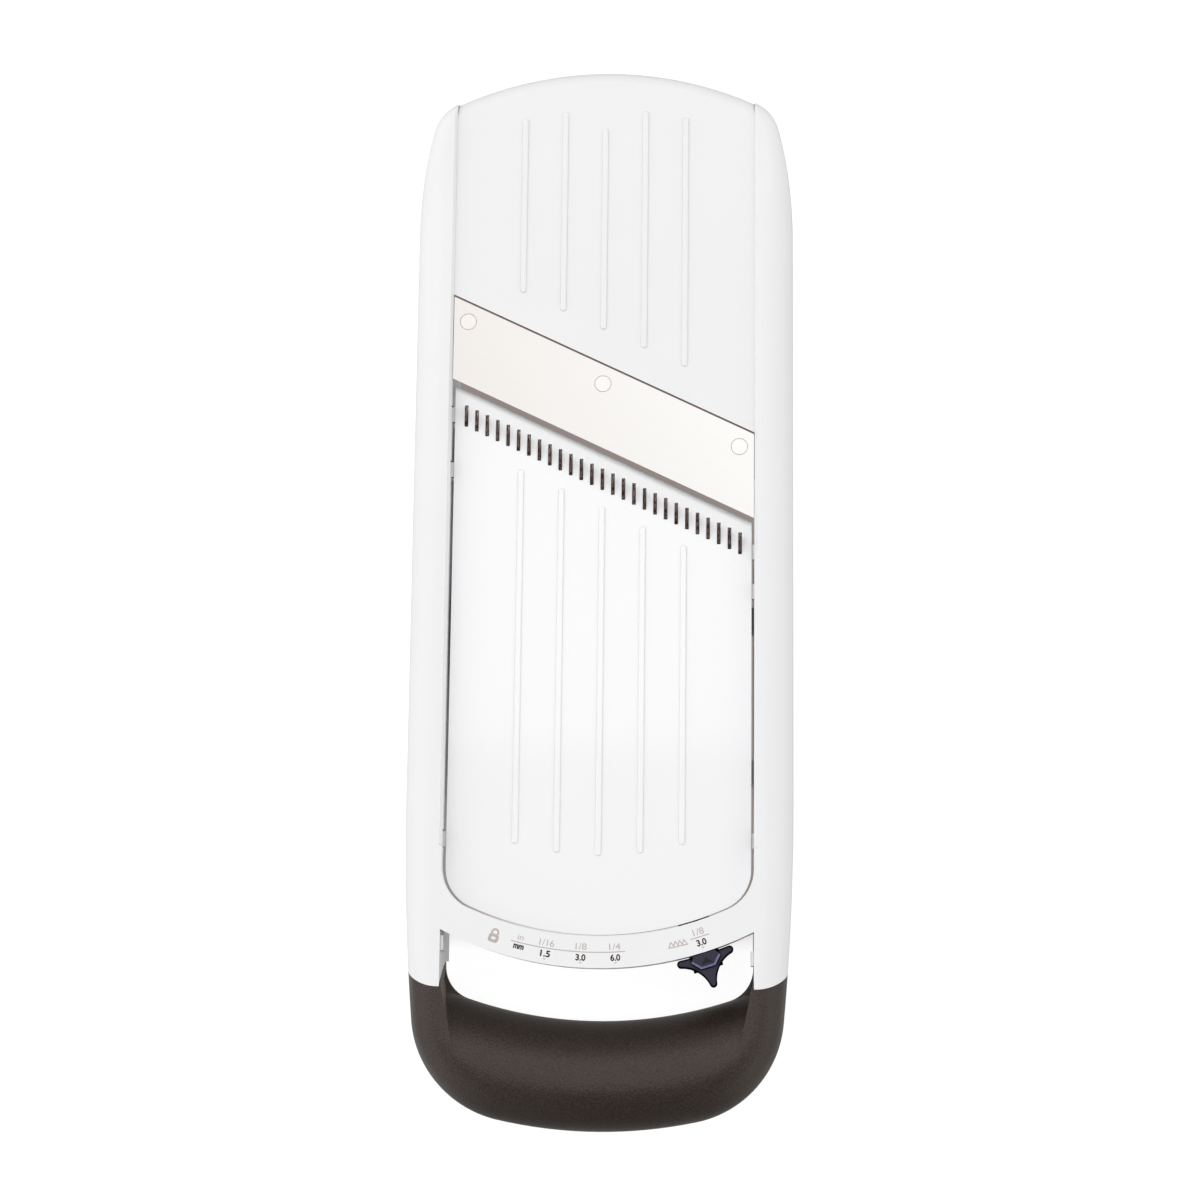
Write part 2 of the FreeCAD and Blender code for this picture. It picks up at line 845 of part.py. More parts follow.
def make_frame():
    """The white moulding: rails, deck, bridge and the core of the handle."""
    ledge = size.blade_width - size.ledge_width
    beyond = half_length + size.skin
    bridge_rear = size.bridge_radius - size.bridge_band
    channel_plan = near_arc_plan(sketch("channel_plan"), channel_half, size.aperture_corner,
                                 bridge_rear, pivot_y, beyond, beyond)
    channel = extrude("channel", channel_plan, low, high)
    flare_plan = outline(sketch("flare_profile"), [
        (-channel_half, deck_top),
        (channel_half, deck_top),
        (channel_half + size.channel_flare, size.rail_top),
        (channel_half + size.channel_flare, high),
        (-channel_half - size.channel_flare, high),
        (-channel_half - size.channel_flare, size.rail_top),
    ])
    flare_end = pivot_y - bridge_rear + size.aperture_corner * 2
    flare_plan.Placement = FreeCAD.Placement(V(), FreeCAD.Rotation(V(1, 0, 0), 90))
    bind_place(flare_plan, y=flare_end)
    flare = new("Part::Extrusion", "channel_flare")
    flare.Base = flare_plan
    flare.DirMode = "Custom"
    flare.Dir = V(0, 1, 0)
    flare.Solid = True
    bind(flare, LengthFwd=beyond - flare_end)
    front = pivot_y - root(size.bridge_radius * size.bridge_radius - channel_half * channel_half)
    finger_plan = outline(sketch("finger_zone_plan"), [
        (-channel_half, -size.body_length),
        (channel_half, -size.body_length),
        (channel_half, front, -size.bridge_radius),
        (-channel_half, front),
    ])
    fingers = extrude("finger_zone", finger_plan, low, high)
    under_bridge = box("under_bridge", (-channel_half, channel_half),
                       (pivot_y - size.bridge_radius - size.skin, pivot_y),
                       (low, size.rail_top - size.bridge_depth))
    groove_plan = ring_plan(sketch("bridge_groove_plan"), pivot_y, bridge_rear + size.deck_skin,
                            size.bridge_radius - size.deck_skin, size.groove_angle)
    groove = extrude("bridge_groove", groove_plan, low, size.rail_top - size.deck_skin)
    front_wall = size.bridge_radius - size.deck_skin
    clicks = [spoke("click", size.nose_radius, front_wall - size.click_run, front_wall + size.click_run,
                    angle - 90, size.rail_top - size.bridge_depth) for angle in setting_angles()]
    under = box("under_frame", (-half_width, half_width), (-half_length, half_length),
                (low, size.frame_lift))
    rails = cut("rails", whole_body, grip_side, channel, flare, fingers, under_bridge, groove, *clicks)
    beam_plan = band_plan(sketch("beam_relief_plan"), channel_half, ledge - size.skin,
                          ledge + size.beam_width + size.skin)
    relief = extrude("beam_relief", beam_plan, low, blade_base - size.beam_depth)
    tracks = []
    lug_top = deck_top - size.lug_drop
    for side, y in lug_spots():
        half = size.lug_length / 2 + size.lug_gap
        inner, outer = channel_half - size.seat_gap, channel_half + size.channel_wall + size.seat_gap
        x = (inner, outer) if side > 0 else (-outer, -inner)
        tracks.append(box("lug_track", x, (y - half, y + half), (low, lug_top + size.lug_gap)))
    rivet_holes = [rod("rivet_hole", size.rivet_shank / 2 + size.pin_fit, size.rivet_length, x, y,
                       deck_top - size.rivet_length) for x, y in rivet_spots()]
    shell = cut("frame_shell", fuse("frame_solid", rails, deck()), frame_cavity(), relief, under,
                *tracks, *rivet_holes)
    bosses, holes = [], []
    for x, y in boss_spots():
        bosses.append(rod("boss", size.boss_radius, size.boss_height, x, y, tray_top))
        wall = channel_half + size.channel_wall / 2
        span = (x, wall) if x > 0 else (-wall, x)
        bosses.append(box("boss_web", span, (y - size.boss_radius, y + size.boss_radius),
                          (tray_top, tray_top + size.boss_height)))
        holes.append(rod("boss_hole", size.screw_shank / 2 + size.screw_fit, size.screw_length, x, y,
                         size.tray_base))
    return cut("frame", fuse("frame_bossed", shell, core, catches(), *bosses), *holes)


def make_grip():
    """The soft black loop, scooped on its finger side, with its cavity for the core."""
    opening_plan = near_arc_plan(sketch("finger_plan"), channel_half, size.finger_corner,
                                 size.finger_radius, finger_y, pivot_y, pivot_y)
    opening = extrude("finger_opening", opening_plan, low, high)
    hollow = size.rail_top - size.scoop_radius
    inside = size.finger_radius - size.scoop_radius
    scoop = turned("scoop_ring", outline(sketch("scoop_profile"), [
        (inside, hollow),
        (size.finger_radius, hollow, -size.scoop_radius),
        (size.finger_radius + size.scoop_radius, size.rail_top),
        (size.finger_radius + size.scoop_radius, high),
        (inside, high),
    ]), Size(0, "0"), finger_y)
    turn = near_end + size.scoop_turn
    narrow = channel_half - size.scoop_taper * size.scoop_turn
    between = extrude("between_arms", outline(sketch("between_arms_plan"), [
        (-channel_half, pivot_y),
        (-channel_half, turn),
        (-narrow, near_end),
        (narrow, near_end),
        (channel_half, turn),
        (channel_half, pivot_y),
    ]), Size(0, "0"), high)
    under = turned("under_ring", outline(sketch("under_profile"), [
        (inside, low),
        (size.finger_radius + size.under_round, low, -size.under_bend),
        (size.finger_radius, size.under_round),
        (inside, size.under_round),
    ]), Size(0, "0"), finger_y)
    block = common("grip_block", whole_body, grip_side)
    shell = cut("grip_shell", block, opening, common("scoop", scoop, between), under)
    return cut("handle_grip", shell, core)


def make_blade():
    """The steel blade: flat above, ground to its edge from beneath, with three rivet holes."""
    section = outline(sketch("blade_section"), [
        (Size(0, "0"), deck_top - size.edge_flat),
        (size.bevel_width, blade_base),
        (size.blade_width, blade_base),
        (size.blade_width, deck_top),
        (Size(0, "0"), deck_top),
    ])
    across = V(blade_sin, blade_cos, 0)
    along = V(blade_cos, -blade_sin, 0)
    section.Placement = FreeCAD.Placement(V(), FreeCAD.Rotation(across, UP, along, "XYZ"))
    bind_place(section, y=edge_y)
    strip = both_ways("blade_strip", section, along, size.body_width)
    end = channel_half - size.seat_gap
    trimmed = common("blade_trimmed", strip, box("blade_trim", (-end, end),
                     (-half_length, half_length), (Size(0, "0"), size.rail_top)))
    holes = [rod("blade_hole", size.rivet_head / 2 + size.rivet_gap, size.rail_top, x, y)
             for x, y in rivet_spots()]
    return cut("main_blade", trimmed, *holes)


def make_rivets():
    rivets = []
    for x, y in rivet_spots():
        head = rod("rivet_top", size.rivet_head / 2, size.blade_thickness, x, y, blade_base)
        shank = rod("rivet_stem", size.rivet_shank / 2, size.rivet_length, x, y,
                    deck_top - size.rivet_length)
        rivets.append(fuse("rivet", head, shank))
    return group("blade_rivets", *rivets)


LEG_ANGLES = (90, 210, 330)
runway_pin_z = drum_floor + size.runway_pin_lift
comb_pin_z = carrier_base + size.comb_pin_lift
leg_outer = size.drum_inner_wall - size.drum_wall - size.leg_gap
leg_inner = leg_outer - size.leg_depth


def make_runway():
    """The movable ramp: ribbed plate with a slot for each tooth, guide lugs and three cam legs."""
    ramp = new_body("runway_ramp")
    edge = blade_line(-size.throat_gap)
    plan = near_arc_plan(body_sketch(ramp, "ramp_plan", runway_base), runway_half,
                         size.aperture_corner - size.runway_side_gap, runway_end_radius, pivot_y,
                         edge(-runway_half), edge(runway_half))
    pad(ramp, plan, size.runway_thickness)
    dress_edges(ramp, "Fillet", "lip", lambda point: abs(point.z - runway_top) < 1e-6
                and abs(point.y - edge(point.x)) < 1e-6, Radius=size.lip_round)
    step = size.tooth_pitch / blade_cos
    length = step * (size.tooth_count - 1)
    slot = body_sketch(ramp, "slot_plan", runway_top, -size.blade_angle, y=comb_y)
    pattern_slot(slot, -(length / 2))
    cutter = pocket(ramp, slot)
    doc.recompute()
    repeat(ramp, cutter, slot, length)
    start = blade_line(-size.runway_rib_start * blade_cos)
    ribs = body_sketch(ramp, "ribs_plan", runway_top)
    for x in rib_places():
        reach = root(runway_end_radius * runway_end_radius - x * x)
        stadium(ribs, x, pivot_y - reach + size.runway_rib_end, start(x), size.rib_width)
    pad(ramp, ribs, size.rib_height)
    crest = runway_top + size.rib_height
    dress_edges(ramp, "Chamfer", "rib_crowns", lambda point: abs(point.z - crest) < 1e-6,
                Size=size.rib_round)
    lugs = body_sketch(ramp, "lugs_plan", runway_top - size.lug_drop - size.lug_height)
    for side, y in lug_spots():
        half = size.lug_length / 2
        inner, outer = runway_half - size.skin, channel_half + size.lug_reach
        x = (inner, outer) if side > 0 else (-outer, -inner)
        outline(lugs, [(x[0], y - half), (x[1], y - half), (x[1], y + half), (x[0], y + half)])
    pad(ramp, lugs, size.lug_height)
    leg_foot = runway_pin_z - size.pin_diameter
    legs = body_sketch(ramp, "legs_plan", leg_foot)
    for angle in LEG_ANGLES:
        ahead, aside = (cosine(angle), sine(angle)), (-sine(angle), cosine(angle))
        half = size.leg_width / 2
        corners = [(leg_inner, -half), (leg_outer, -half), (leg_outer, half), (leg_inner, half)]
        outline(legs, [(ahead[0] * r + aside[0] * w, pivot_y + ahead[1] * r + aside[1] * w)
                       for r, w in corners])
    pad(ramp, legs, runway_base - leg_foot)
    holes = [spoke("leg_hole", size.pin_diameter / 2 + size.pin_fit, leg_inner, leg_outer, angle,
                   runway_pin_z) for angle in LEG_ANGLES]
    return cut("runway", ramp, *holes)


def pattern_slot(profile, start):
    """The first slot of the row. Its sketch is turned with the blade, and the slot is not."""
    half = size.slot_width / 2
    reach = size.slot_length / 2
    along = (-blade_sin, blade_cos)
    aside = (blade_cos, blade_sin)

    def spot(far, right):
        return (start + along[0] * far + aside[0] * right, along[1] * far + aside[1] * right)

    corners = [spot(-reach, half), spot(reach, half), spot(reach, -half), spot(-reach, -half)]
    return outline(profile, corners)


def repeat(body, feature, profile, length):
    """Repeats a feature once for each tooth, along the sketch's own X axis."""
    row = body.newObject("PartDesign::LinearPattern", f"{feature.Name}_row")
    row.Originals = [feature]
    row.Direction = (profile, ["H_Axis"])
    bind(row, Length=length, Occurrences=size.tooth_count)
    body.Tip = row
    return row


def make_runway_pins():
    reach = size.drum_inner_wall + size.pin_past
    return group("runway_cam_pins", *[spoke("runway_pin", size.pin_diameter / 2, leg_inner, reach,
                                            angle, runway_pin_z) for angle in LEG_ANGLES])


def tooth_spots():
    """X and Y of each tooth, from left to right along the row."""
    middle = (size.tooth_count - 1) / 2
    places = []
    for index in range(int(size.tooth_count)):
        x = (index - middle) * size.tooth_pitch
        places.append((x, comb_y - blade_tan * x))
    return places


def make_teeth():
    """Upright blades with a slanted upper edge that faces the handle."""
    teeth = []
    base, top = carrier_top - size.tooth_root, runway_top + size.tooth_rise
    for x, y in tooth_spots():
        tooth = new("Part::Wedge", "tooth")
        bind(tooth, Xmin=-size.tooth_thickness / 2, Xmax=size.tooth_thickness / 2,
             X2min=-size.tooth_thickness / 2, X2max=size.tooth_thickness / 2,
             Ymin=-size.tooth_length / 2, Ymax=size.tooth_length / 2, Zmin=Size(0, "0"),
             Zmax=top - base - size.tooth_slant, Z2min=Size(0, "0"), Z2max=top - base)
        teeth.append(bind_place(tooth, x, y - size.tooth_setback, base))
    return group("julienne_teeth", *teeth)


def carrier_point(along, across):
    """A point given along the comb and across it from the lever's pivot."""
    return (along * blade_cos + across * blade_sin, pivot_y - along * blade_sin + across * blade_cos)


def post_spots():
    """Centres of the two guide posts, on a line parallel to the comb."""
    across = comb_reach - size.post_setback
    return [(x, pivot_y + (across - x * blade_sin) / blade_cos) for x in (size.post_left, size.post_right)]


def comb_pin_angles():
    square = 90 - size.blade_angle
    return (square - size.comb_pin_spread, square + size.comb_pin_spread)


def make_carrier(teeth):
    """The bar under the runway that holds the teeth and slides on two posts."""
    inner, outer = comb_reach - size.carrier_inner, comb_reach + size.carrier_outer
    centre = -(foot_of_comb / blade_cos)
    first, last = centre - size.carrier_half, centre + size.carrier_half
    plan = outline(sketch("carrier_plan"), [carrier_point(first, inner), carrier_point(last, inner),
                                            carrier_point(last, outer), carrier_point(first, outer)])
    bar = extrude("carrier_bar", plan, carrier_base, carrier_top)
    collars, bores = [], []
    for x, y in post_spots():
        collars.append(rod("collar", size.post_collar, size.carrier_height, x, y, carrier_base))
        bores.append(rod("collar_bore", size.post_diameter / 2 + size.post_fit, size.rail_top, x, y))
    holes = [spoke("carrier_hole", size.pin_diameter / 2 + size.pin_fit, size.drum_radius,
                   comb_reach + size.carrier_inner, angle, comb_pin_z) for angle in comb_pin_angles()]
    return cut("comb_carrier", fuse("carrier_solid", bar, *collars), teeth, *bores, *holes)


def make_comb_pins():
    inner = size.drum_radius - size.drum_wall - size.pin_past
    outer = comb_reach + size.carrier_inner
    return group("comb_cam_pins", *[spoke("comb_pin", size.pin_diameter / 2, inner, outer, angle,
                                          comb_pin_z) for angle in comb_pin_angles()])


def make_posts():
    height = carrier_top - size.carrier_gap - size.tray_base
    posts = [rod("post", size.post_diameter / 2, height, x, y, size.tray_base)
             for x, y in post_spots()]
    return group("comb_guide_posts", *posts)


def cam_slot(name, outer, angle, height, rise):
    """An inclined slot through a drum wall, for a pin that climbs as the lever turns to lock."""
    inner = outer - size.drum_wall
    middle = (inner + outer) / 2
    half_turn = size.lever_sweep / 2
    slope = math.degrees(math.atan(rise / 2 / (middle * math.sin(math.radians(half_turn)))))
    reach = inner * cosine(half_turn + size.cam_overrun) - size.cam_gap
    half_span = outer * sine(half_turn + size.cam_overrun)
    half_height = size.pin_diameter / 2 + size.cam_gap
    slot = new("Part::Box", name)
    bind(slot, Length=outer + size.cam_gap - reach, Width=half_span * 2, Height=half_height * 2)
    heading = FreeCAD.Rotation(UP, angle + float(half_turn))
    lean = FreeCAD.Rotation(V(1, 0, 0), slope)
    turn = heading.multiply(lean)
    middle_z = height + rise / 2
    corner = V(0, pivot_y, middle_z) + turn.multVec(V(reach, -half_span, -half_height))
    slot.Placement = FreeCAD.Placement(corner, turn)
    return slot


def make_lever_cam():
    """The lever arm with its drum. Two ring walls carry the inclined slots."""
    lever = new_body("lever_body")
    lever.Placement = placed(0, float(pivot_y), 0, float(size.lever_rest))
    bind_place(lever, y=pivot_y)
    zero = Size(0, "0")
    bore = size.spigot_diameter / 2 + size.spigot_fit
    plate = circle(body_sketch(lever, "drum_plan", drum_base), zero, zero, size.drum_radius)
    pad(lever, circle(plate, zero, zero, bore), size.drum_plate)
    for name, outer in (("inner_wall", size.drum_inner_wall), ("outer_wall", size.drum_radius)):
        wall = circle(body_sketch(lever, name, drum_floor), zero, zero, outer)
        pad(lever, circle(wall, zero, zero, outer - size.drum_wall), size.drum_height)
    head = size.bridge_radius + size.head_gap
    tip = head + size.neck_depth
    half, tip_half = size.arm_width / 2, size.arm_tip_width / 2
    arm = outline(body_sketch(lever, "arm_plan", drum_base), [
        (-half, -(size.drum_radius - size.drum_wall)),
        (-tip_half, -tip),
        (tip_half, -tip),
        (half, -(size.drum_radius - size.drum_wall)),
    ])
    pad(lever, arm, size.drum_plate)
    spine_half = size.drum_wall / 2
    spine = outline(body_sketch(lever, "spine_plan", drum_floor), [
        (-spine_half, -(size.drum_radius - spine_half)),
        (-spine_half, -head),
        (spine_half, -head),
        (spine_half, -(size.drum_radius - spine_half)),
    ])
    pad(lever, spine, size.drum_plate)
    neck_half = size.neck_width / 2
    neck = outline(body_sketch(lever, "neck_plan", drum_floor), [
        (-neck_half, -tip),
        (neck_half, -tip),
        (neck_half, -head),
        (-neck_half, -head),
    ])
    pad(lever, neck, size.tab_base - drum_floor)
    nose_y = -(size.bridge_radius - size.deck_skin / 2)
    nose = circle(body_sketch(lever, "nose_plan", drum_floor), zero, nose_y, size.nose_radius)
    pad(lever, nose, size.rail_top - size.bridge_depth - size.head_gap - drum_floor)
    doc.recompute()
    slots = [cam_slot("runway_slot", size.drum_inner_wall, angle, runway_pin_z, size.slice_thickness)
             for angle in LEG_ANGLES]
    slots += [cam_slot("comb_slot", size.drum_radius, angle, comb_pin_z, -size.comb_stroke)
              for angle in comb_pin_angles()]
    return cut("lever_cam", lever, *slots)


def make_tab():
    """The three-pointed thumb tab, with a raised crown and a sunk pointer on it."""
    tab = new_body("lever_tab")
    tab.Placement = placed(0, float(pivot_y), 0, float(size.lever_rest))
    bind_place(tab, y=pivot_y)
    head = size.bridge_radius + size.head_gap
    wing_y = -root((head + size.wing_round) * (head + size.wing_round)
                   - size.wing_spread * size.wing_spread)
    wing = V(size.wing_spread, wing_y, 0)
    tip = V(0, -(head + size.tab_reach - size.tip_round), 0)
    waist = meeting_point(wing, size.tab_waist + size.wing_round, tip, size.tab_waist + size.tip_round, 1)
    back = wing * (head / (head + size.wing_round))
    wing_end = wing + (waist - wing).normalize() * size.wing_round
    tip_end = tip + (waist - tip).normalize() * size.tip_round
    right = [(tip_end.x, tip_end.y, -size.tab_waist), (wing_end.x, wing_end.y, size.wing_round),
             (back.x, back.y, -head)]
    left = [(-back.x, back.y, size.wing_round), (-wing_end.x, wing_end.y, -size.tab_waist),
            (-tip_end.x, tip_end.y, size.tip_round)]
    plate = outline(body_sketch(tab, "tab_plan", size.tab_base), right + left)
    pad(tab, plate, size.tab_edge - size.tab_base)
    dress_edges(tab, "Fillet", "tab_rim", lambda point: abs(point.z - size.tab_edge) < 1e-6,
                Radius=size.tab_edge_round)
    back = -(size.bridge_radius + size.crown_gap)
    crown = outline(body_sketch(tab, "crown_plan", size.tab_edge), [
        (-size.crown_back / 2, back),
        (-size.crown_middle / 2, back - size.crown_shoulder),
        (-size.crown_front / 2, back - size.crown_depth),
        (size.crown_front / 2, back - size.crown_depth),
        (size.crown_middle / 2, back - size.crown_shoulder),
        (size.crown_back / 2, back),
    ])
    pad(tab, crown, size.tab_crown - size.tab_edge)
    dress_edges(tab, "Chamfer", "crown_edges", lambda point: abs(point.z - size.tab_crown) < 1e-6
                and point.y < back - size.crown_gap, Size=size.crown_bevel)
    point = back - size.mark_inset
    mark = outline(body_sketch(tab, "mark_plan", size.tab_crown), [
        (Size(0, "0"), point),
        (-size.mark_width / 2, point - size.mark_length),
        (size.mark_width / 2, point - size.mark_length),
    ])
    recess = pocket(tab, mark)
    recess.Type = "Length"
    bind(recess, Length=size.mark_depth)
    doc.recompute()
    return tab


def make_tray():
    """The cross frame under the runway, with the lever's spigot and two windows."""
    tray = new_body("mechanism_tray")
    zero = Size(0, "0")
    half = channel_half - size.tray_gap
    near = pivot_y - size.tray_near
    across = comb_reach - size.post_setback + size.post_collar + size.skin / 2

    def far(x):
        return pivot_y + (across - x * blade_sin) / blade_cos

    plan = outline(body_sketch(tray, "tray_plan", size.tray_base), [
        (-half, near), (half, near), (half, far(half)), (-half, far(-half)),
    ])
    pad(tray, plan, size.tray_thickness)
    seat = circle(body_sketch(tray, "pivot_seat", tray_top), zero, pivot_y, size.seat_diameter / 2)
    pad(tray, seat, size.seat_rise)
    spigot = circle(body_sketch(tray, "spigot", tray_top), zero, pivot_y, size.spigot_diameter / 2)
    pad(tray, spigot, drum_floor + size.drum_float - tray_top)
    holes = body_sketch(tray, "tray_holes", size.rail_top)
    circle(holes, zero, pivot_y, size.screw_shank / 2 + size.screw_fit)
    for x, y in boss_spots():
        circle(holes, x, y, size.screw_shank / 2 + size.lug_gap / 2)
    for x, y in post_spots():
        circle(holes, x, y, size.post_diameter / 2 + size.pin_fit)
    window = size.post_collar * 2
    edge = half - size.boss_inset * 2
    start = near + window
    stadium(holes, -(edge - window), start, pivot_y + size.boss_left_far - window / 2, window * 2)
    stadium(holes, edge - window, start, pivot_y + size.boss_right_far - window / 2, window * 2)
    pocket(tray, holes)
    doc.recompute()
    return tray


def make_pivot_washer():
    base = drum_floor + size.drum_float
    disc = rod("washer_disc", size.washer_diameter / 2, size.washer_thickness, Size(0, "0"), pivot_y, base)
    hole = rod("washer_hole", size.screw_shank / 2 + size.lug_gap / 2, size.rail_top, Size(0, "0"), pivot_y)
    return cut("pivot_washer", disc, hole)


def pan_screw(name, x, y, seat, up):
    """A screw with a sloped head. The head lies above the seat, or below it when up is False."""
    stem_base = seat - size.screw_length if up else seat
    stem = rod(f"{name}_stem", size.screw_shank / 2, size.screw_length, x, y, stem_base)
    wide = size.screw_head / 2
    slim = wide - size.screw_head_height / 2
    head = new("Part::Cone", f"{name}_head")
    bind(head, Radius1=wide if up else slim, Radius2=slim if up else wide, Height=size.screw_head_height)
    bind_place(head, x, y, seat if up else seat - size.screw_head_height)
    return fuse(name, head, stem)


def make_pivot_screw():
    seat = drum_floor + size.drum_float + size.washer_thickness
    return pan_screw("pivot_screw", Size(0, "0"), pivot_y, seat, True)


def make_tray_screws():
    screws = [pan_screw("tray_screw", x, y, size.tray_base, False) for x, y in boss_spots()]
    return group("tray_screws", *screws)


def make_foot():
    """The soft strip under the far end, with a lip behind the frame's skirt."""
    outer = size.far_end_radius - size.skin / 2
    inner = outer - size.foot_width
    lip = size.far_end_radius - size.skin - size.foot_gap
    zero = Size(0, "0")
    profile = outline(sketch("foot_profile"), [
        (inner, zero), (outer, zero), (outer, size.frame_lift), (lip, size.frame_lift),
        (lip, size.frame_lift + size.foot_rise), (lip - size.foot_lip, size.frame_lift + size.foot_rise),
        (lip - size.foot_lip, size.frame_lift), (inner, size.frame_lift),
    ])
    foot = turned("end_foot", profile, zero, far_end_y, size.foot_angle)
    start = FreeCAD.Rotation(UP, 90 - float(size.foot_angle) / 2)
    profile.Placement = FreeCAD.Placement(profile.Placement.Base,
                                          start.multiply(FreeCAD.Rotation(V(1, 0, 0), 90)))
    return foot


def finish(pieces):
    """Checks every object of the document, then writes each piece to its own file."""
    doc.recompute()
    for item in doc.Objects:
        if "Invalid" in item.State or "Error" in item.State:
            raise RuntimeError(f"{item.Name} failed: {item.State}")
    for label, piece in pieces.items():
        piece.Label = label
        shape = piece.Shape
        if shape.isNull() or not shape.isValid() or not shape.Solids:
            raise RuntimeError(f"{label} has no valid solid")
        print(label, len(shape.Solids), "solids", round(shape.Volume), "mm3")
    os.makedirs("parts", exist_ok=True)
    for label, piece in pieces.items():
        piece.Shape.exportStep(f"parts/{label}.step")


def main():
    teeth = make_teeth()
    finish({
        "frame": make_frame(),
        "handle_grip": make_grip(),
        "end_foot": make_foot(),
        "main_blade": make_blade(),
        "blade_rivets": make_rivets(),
        "runway": make_runway(),
        "runway_cam_pins": make_runway_pins(),
        "comb_carrier": make_carrier(teeth),
        "julienne_teeth": teeth,
        "comb_cam_pins": make_comb_pins(),
        "comb_guide_posts": make_posts(),
        "lever_cam": make_lever_cam(),
        "lever_tab": make_tab(),
        "mechanism_tray": make_tray(),
        "pivot_washer": make_pivot_washer(),
        "pivot_screw": make_pivot_screw(),
        "tray_screws": make_tray_screws(),
    })


main()
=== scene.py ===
import json
import math

import bmesh
import bpy
from mathutils import Matrix, Vector


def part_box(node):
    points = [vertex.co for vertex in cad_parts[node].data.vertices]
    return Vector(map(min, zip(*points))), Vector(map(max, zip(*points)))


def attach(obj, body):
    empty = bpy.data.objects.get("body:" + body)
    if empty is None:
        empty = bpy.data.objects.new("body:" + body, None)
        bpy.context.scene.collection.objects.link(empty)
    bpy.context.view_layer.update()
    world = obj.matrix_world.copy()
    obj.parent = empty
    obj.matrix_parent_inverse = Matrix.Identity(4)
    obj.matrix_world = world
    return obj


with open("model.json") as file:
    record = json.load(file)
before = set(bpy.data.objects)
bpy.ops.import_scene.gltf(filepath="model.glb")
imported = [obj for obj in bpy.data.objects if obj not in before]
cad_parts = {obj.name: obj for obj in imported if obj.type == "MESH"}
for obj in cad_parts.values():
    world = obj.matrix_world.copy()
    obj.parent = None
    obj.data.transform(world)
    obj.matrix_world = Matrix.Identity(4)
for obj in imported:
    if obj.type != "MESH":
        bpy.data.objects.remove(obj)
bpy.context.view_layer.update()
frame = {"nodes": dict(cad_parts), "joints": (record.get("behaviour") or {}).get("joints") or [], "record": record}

MM = 0.001

# Places that come from the frame, in metres, and the angle that the blade was built at. BLADE_FAR is
# the blade's reach square to its edge.
lever_joint = next(joint for joint in frame["joints"] if joint["name"] == "lever_turn")
PIVOT = Vector(lever_joint["pos_m"])
BRIDGE_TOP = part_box("frame")[1].z
BLADE_LEFT, BLADE_RIGHT = (corner.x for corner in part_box("main_blade"))
BLADE_ANGLE = math.radians(25.25)
BLADE_FAR = max(vertex.co.x * math.sin(BLADE_ANGLE) + vertex.co.y * math.cos(BLADE_ANGLE)
                for vertex in frame["nodes"]["main_blade"].data.vertices)
TAB_CROWN = max(vertex.co.z for vertex in frame["nodes"]["lever_tab"].data.vertices)

# Printed scale on the bridge: sizes in mm, radii in mm about the lever's pivot, angles in degrees
# from the handle, and boldness as a share of the typeface's own size
INK_THICKNESS = 0.02
LINE_WIDTH = 0.28
INCH_RADIUS = 94.9
LINE_RADIUS = 96.45
STRIP_RADIUS = 96.87
UNIT_RADIUS = 97.7
METRIC_RADIUS = 98.05
TICK_RADIUS = 99.5
LOCK_ANGLE = -17.9
UNIT_ANGLE = -13.35
STRIP_ANGLE = 12.95
STRIP_STEP = 1.28
STRIP_COUNT = 4
LINE_SPANS = ((-14.9, 4.95), (16.38, 19.72))
LINE_STEPS_PER_DEGREE = 2
INCH_UNIT_SIZE = (1.7, 1.5)
METRIC_UNIT_SIZE = (3.1, 1.3)
METRIC_UNIT_BOLDNESS = 0.045
FIGURE_HEIGHT = 1.9
METRIC_WIDTH = 2.9
METRIC_BOLDNESS = 0.03

# The settings: angle, inches with their printed width in mm, and millimetres
SETTINGS = (
    (-8.68, "1/16", 4.3, "1.5"),
    (-2.66, "1/8", 3.2, "3.0"),
    (3.22, "1/4", 3.2, "6.0"),
    (18.05, "1/8", 3.2, "3.0"),
)

# The photograph's camera, fitted to the slicer's edges: turns about X, Y and Z in degrees, and
# the lens and sensor in mm
CAMERA_PLACE = Vector((36.11, -134.10, 781.22)) * MM
CAMERA_TURNS = (9.7112, 2.7188, 0.1911)
CAMERA_LENS = 77.40
SENSOR_WIDTH = 36.0

# The studio: two lamps that face down, with place and size in metres and power in watts
OVERHEAD_PLACE, OVERHEAD_SIZE, OVERHEAD_POWER = (-0.5, 1.32, 2.4), (3.6, 2.2), 29.5
HANDLE_PLACE, HANDLE_SIZE, HANDLE_POWER = (0.0, -0.36, 2.4), (1.6, 0.4), 6.8

# The tent round them: the brightness of its roof and walls, and how far a direction leans out where
# each wall begins and where it is full. Below the horizon comes a share of that light, as if from the
# floor, and never less than the least.
ROOF = 0.19
WALLS = (("X", -1, 1.42), ("X", 1, 1.22), ("Y", 1, 0.38), ("Y", -1, 0.28))
WALL_START, WALL_FULL = 0.25, 0.65
HORIZON = 0.02
FLOOR_BOUNCE = 0.6
FLOOR_LEAST = 0.3

# The floor: half its width in metres, its drop below the slicer in mm, and its glow in the open and
# where the slicer covers it. The covered zone takes a share of the frame's width, and the glow comes
# back between two shares of the zone's half size.
FLOOR_HALF = 12.0
FLOOR_DROP = 0.05
FLOOR_GLOW = 0.9
COVERED_GLOW = 0.27
COVERED_WIDTH = 0.95
COVERED_START, COVERED_END = 0.85, 1.05


def linear(colour):
    """An sRGB hex colour as linear RGBA."""
    channels = [int(colour[start:start + 2], 16) / 255 for start in (0, 2, 4)]
    curve = [c / 12.92 if c <= 0.04045 else ((c + 0.055) / 1.055) ** 2.4 for c in channels]
    return (*curve, 1.0)


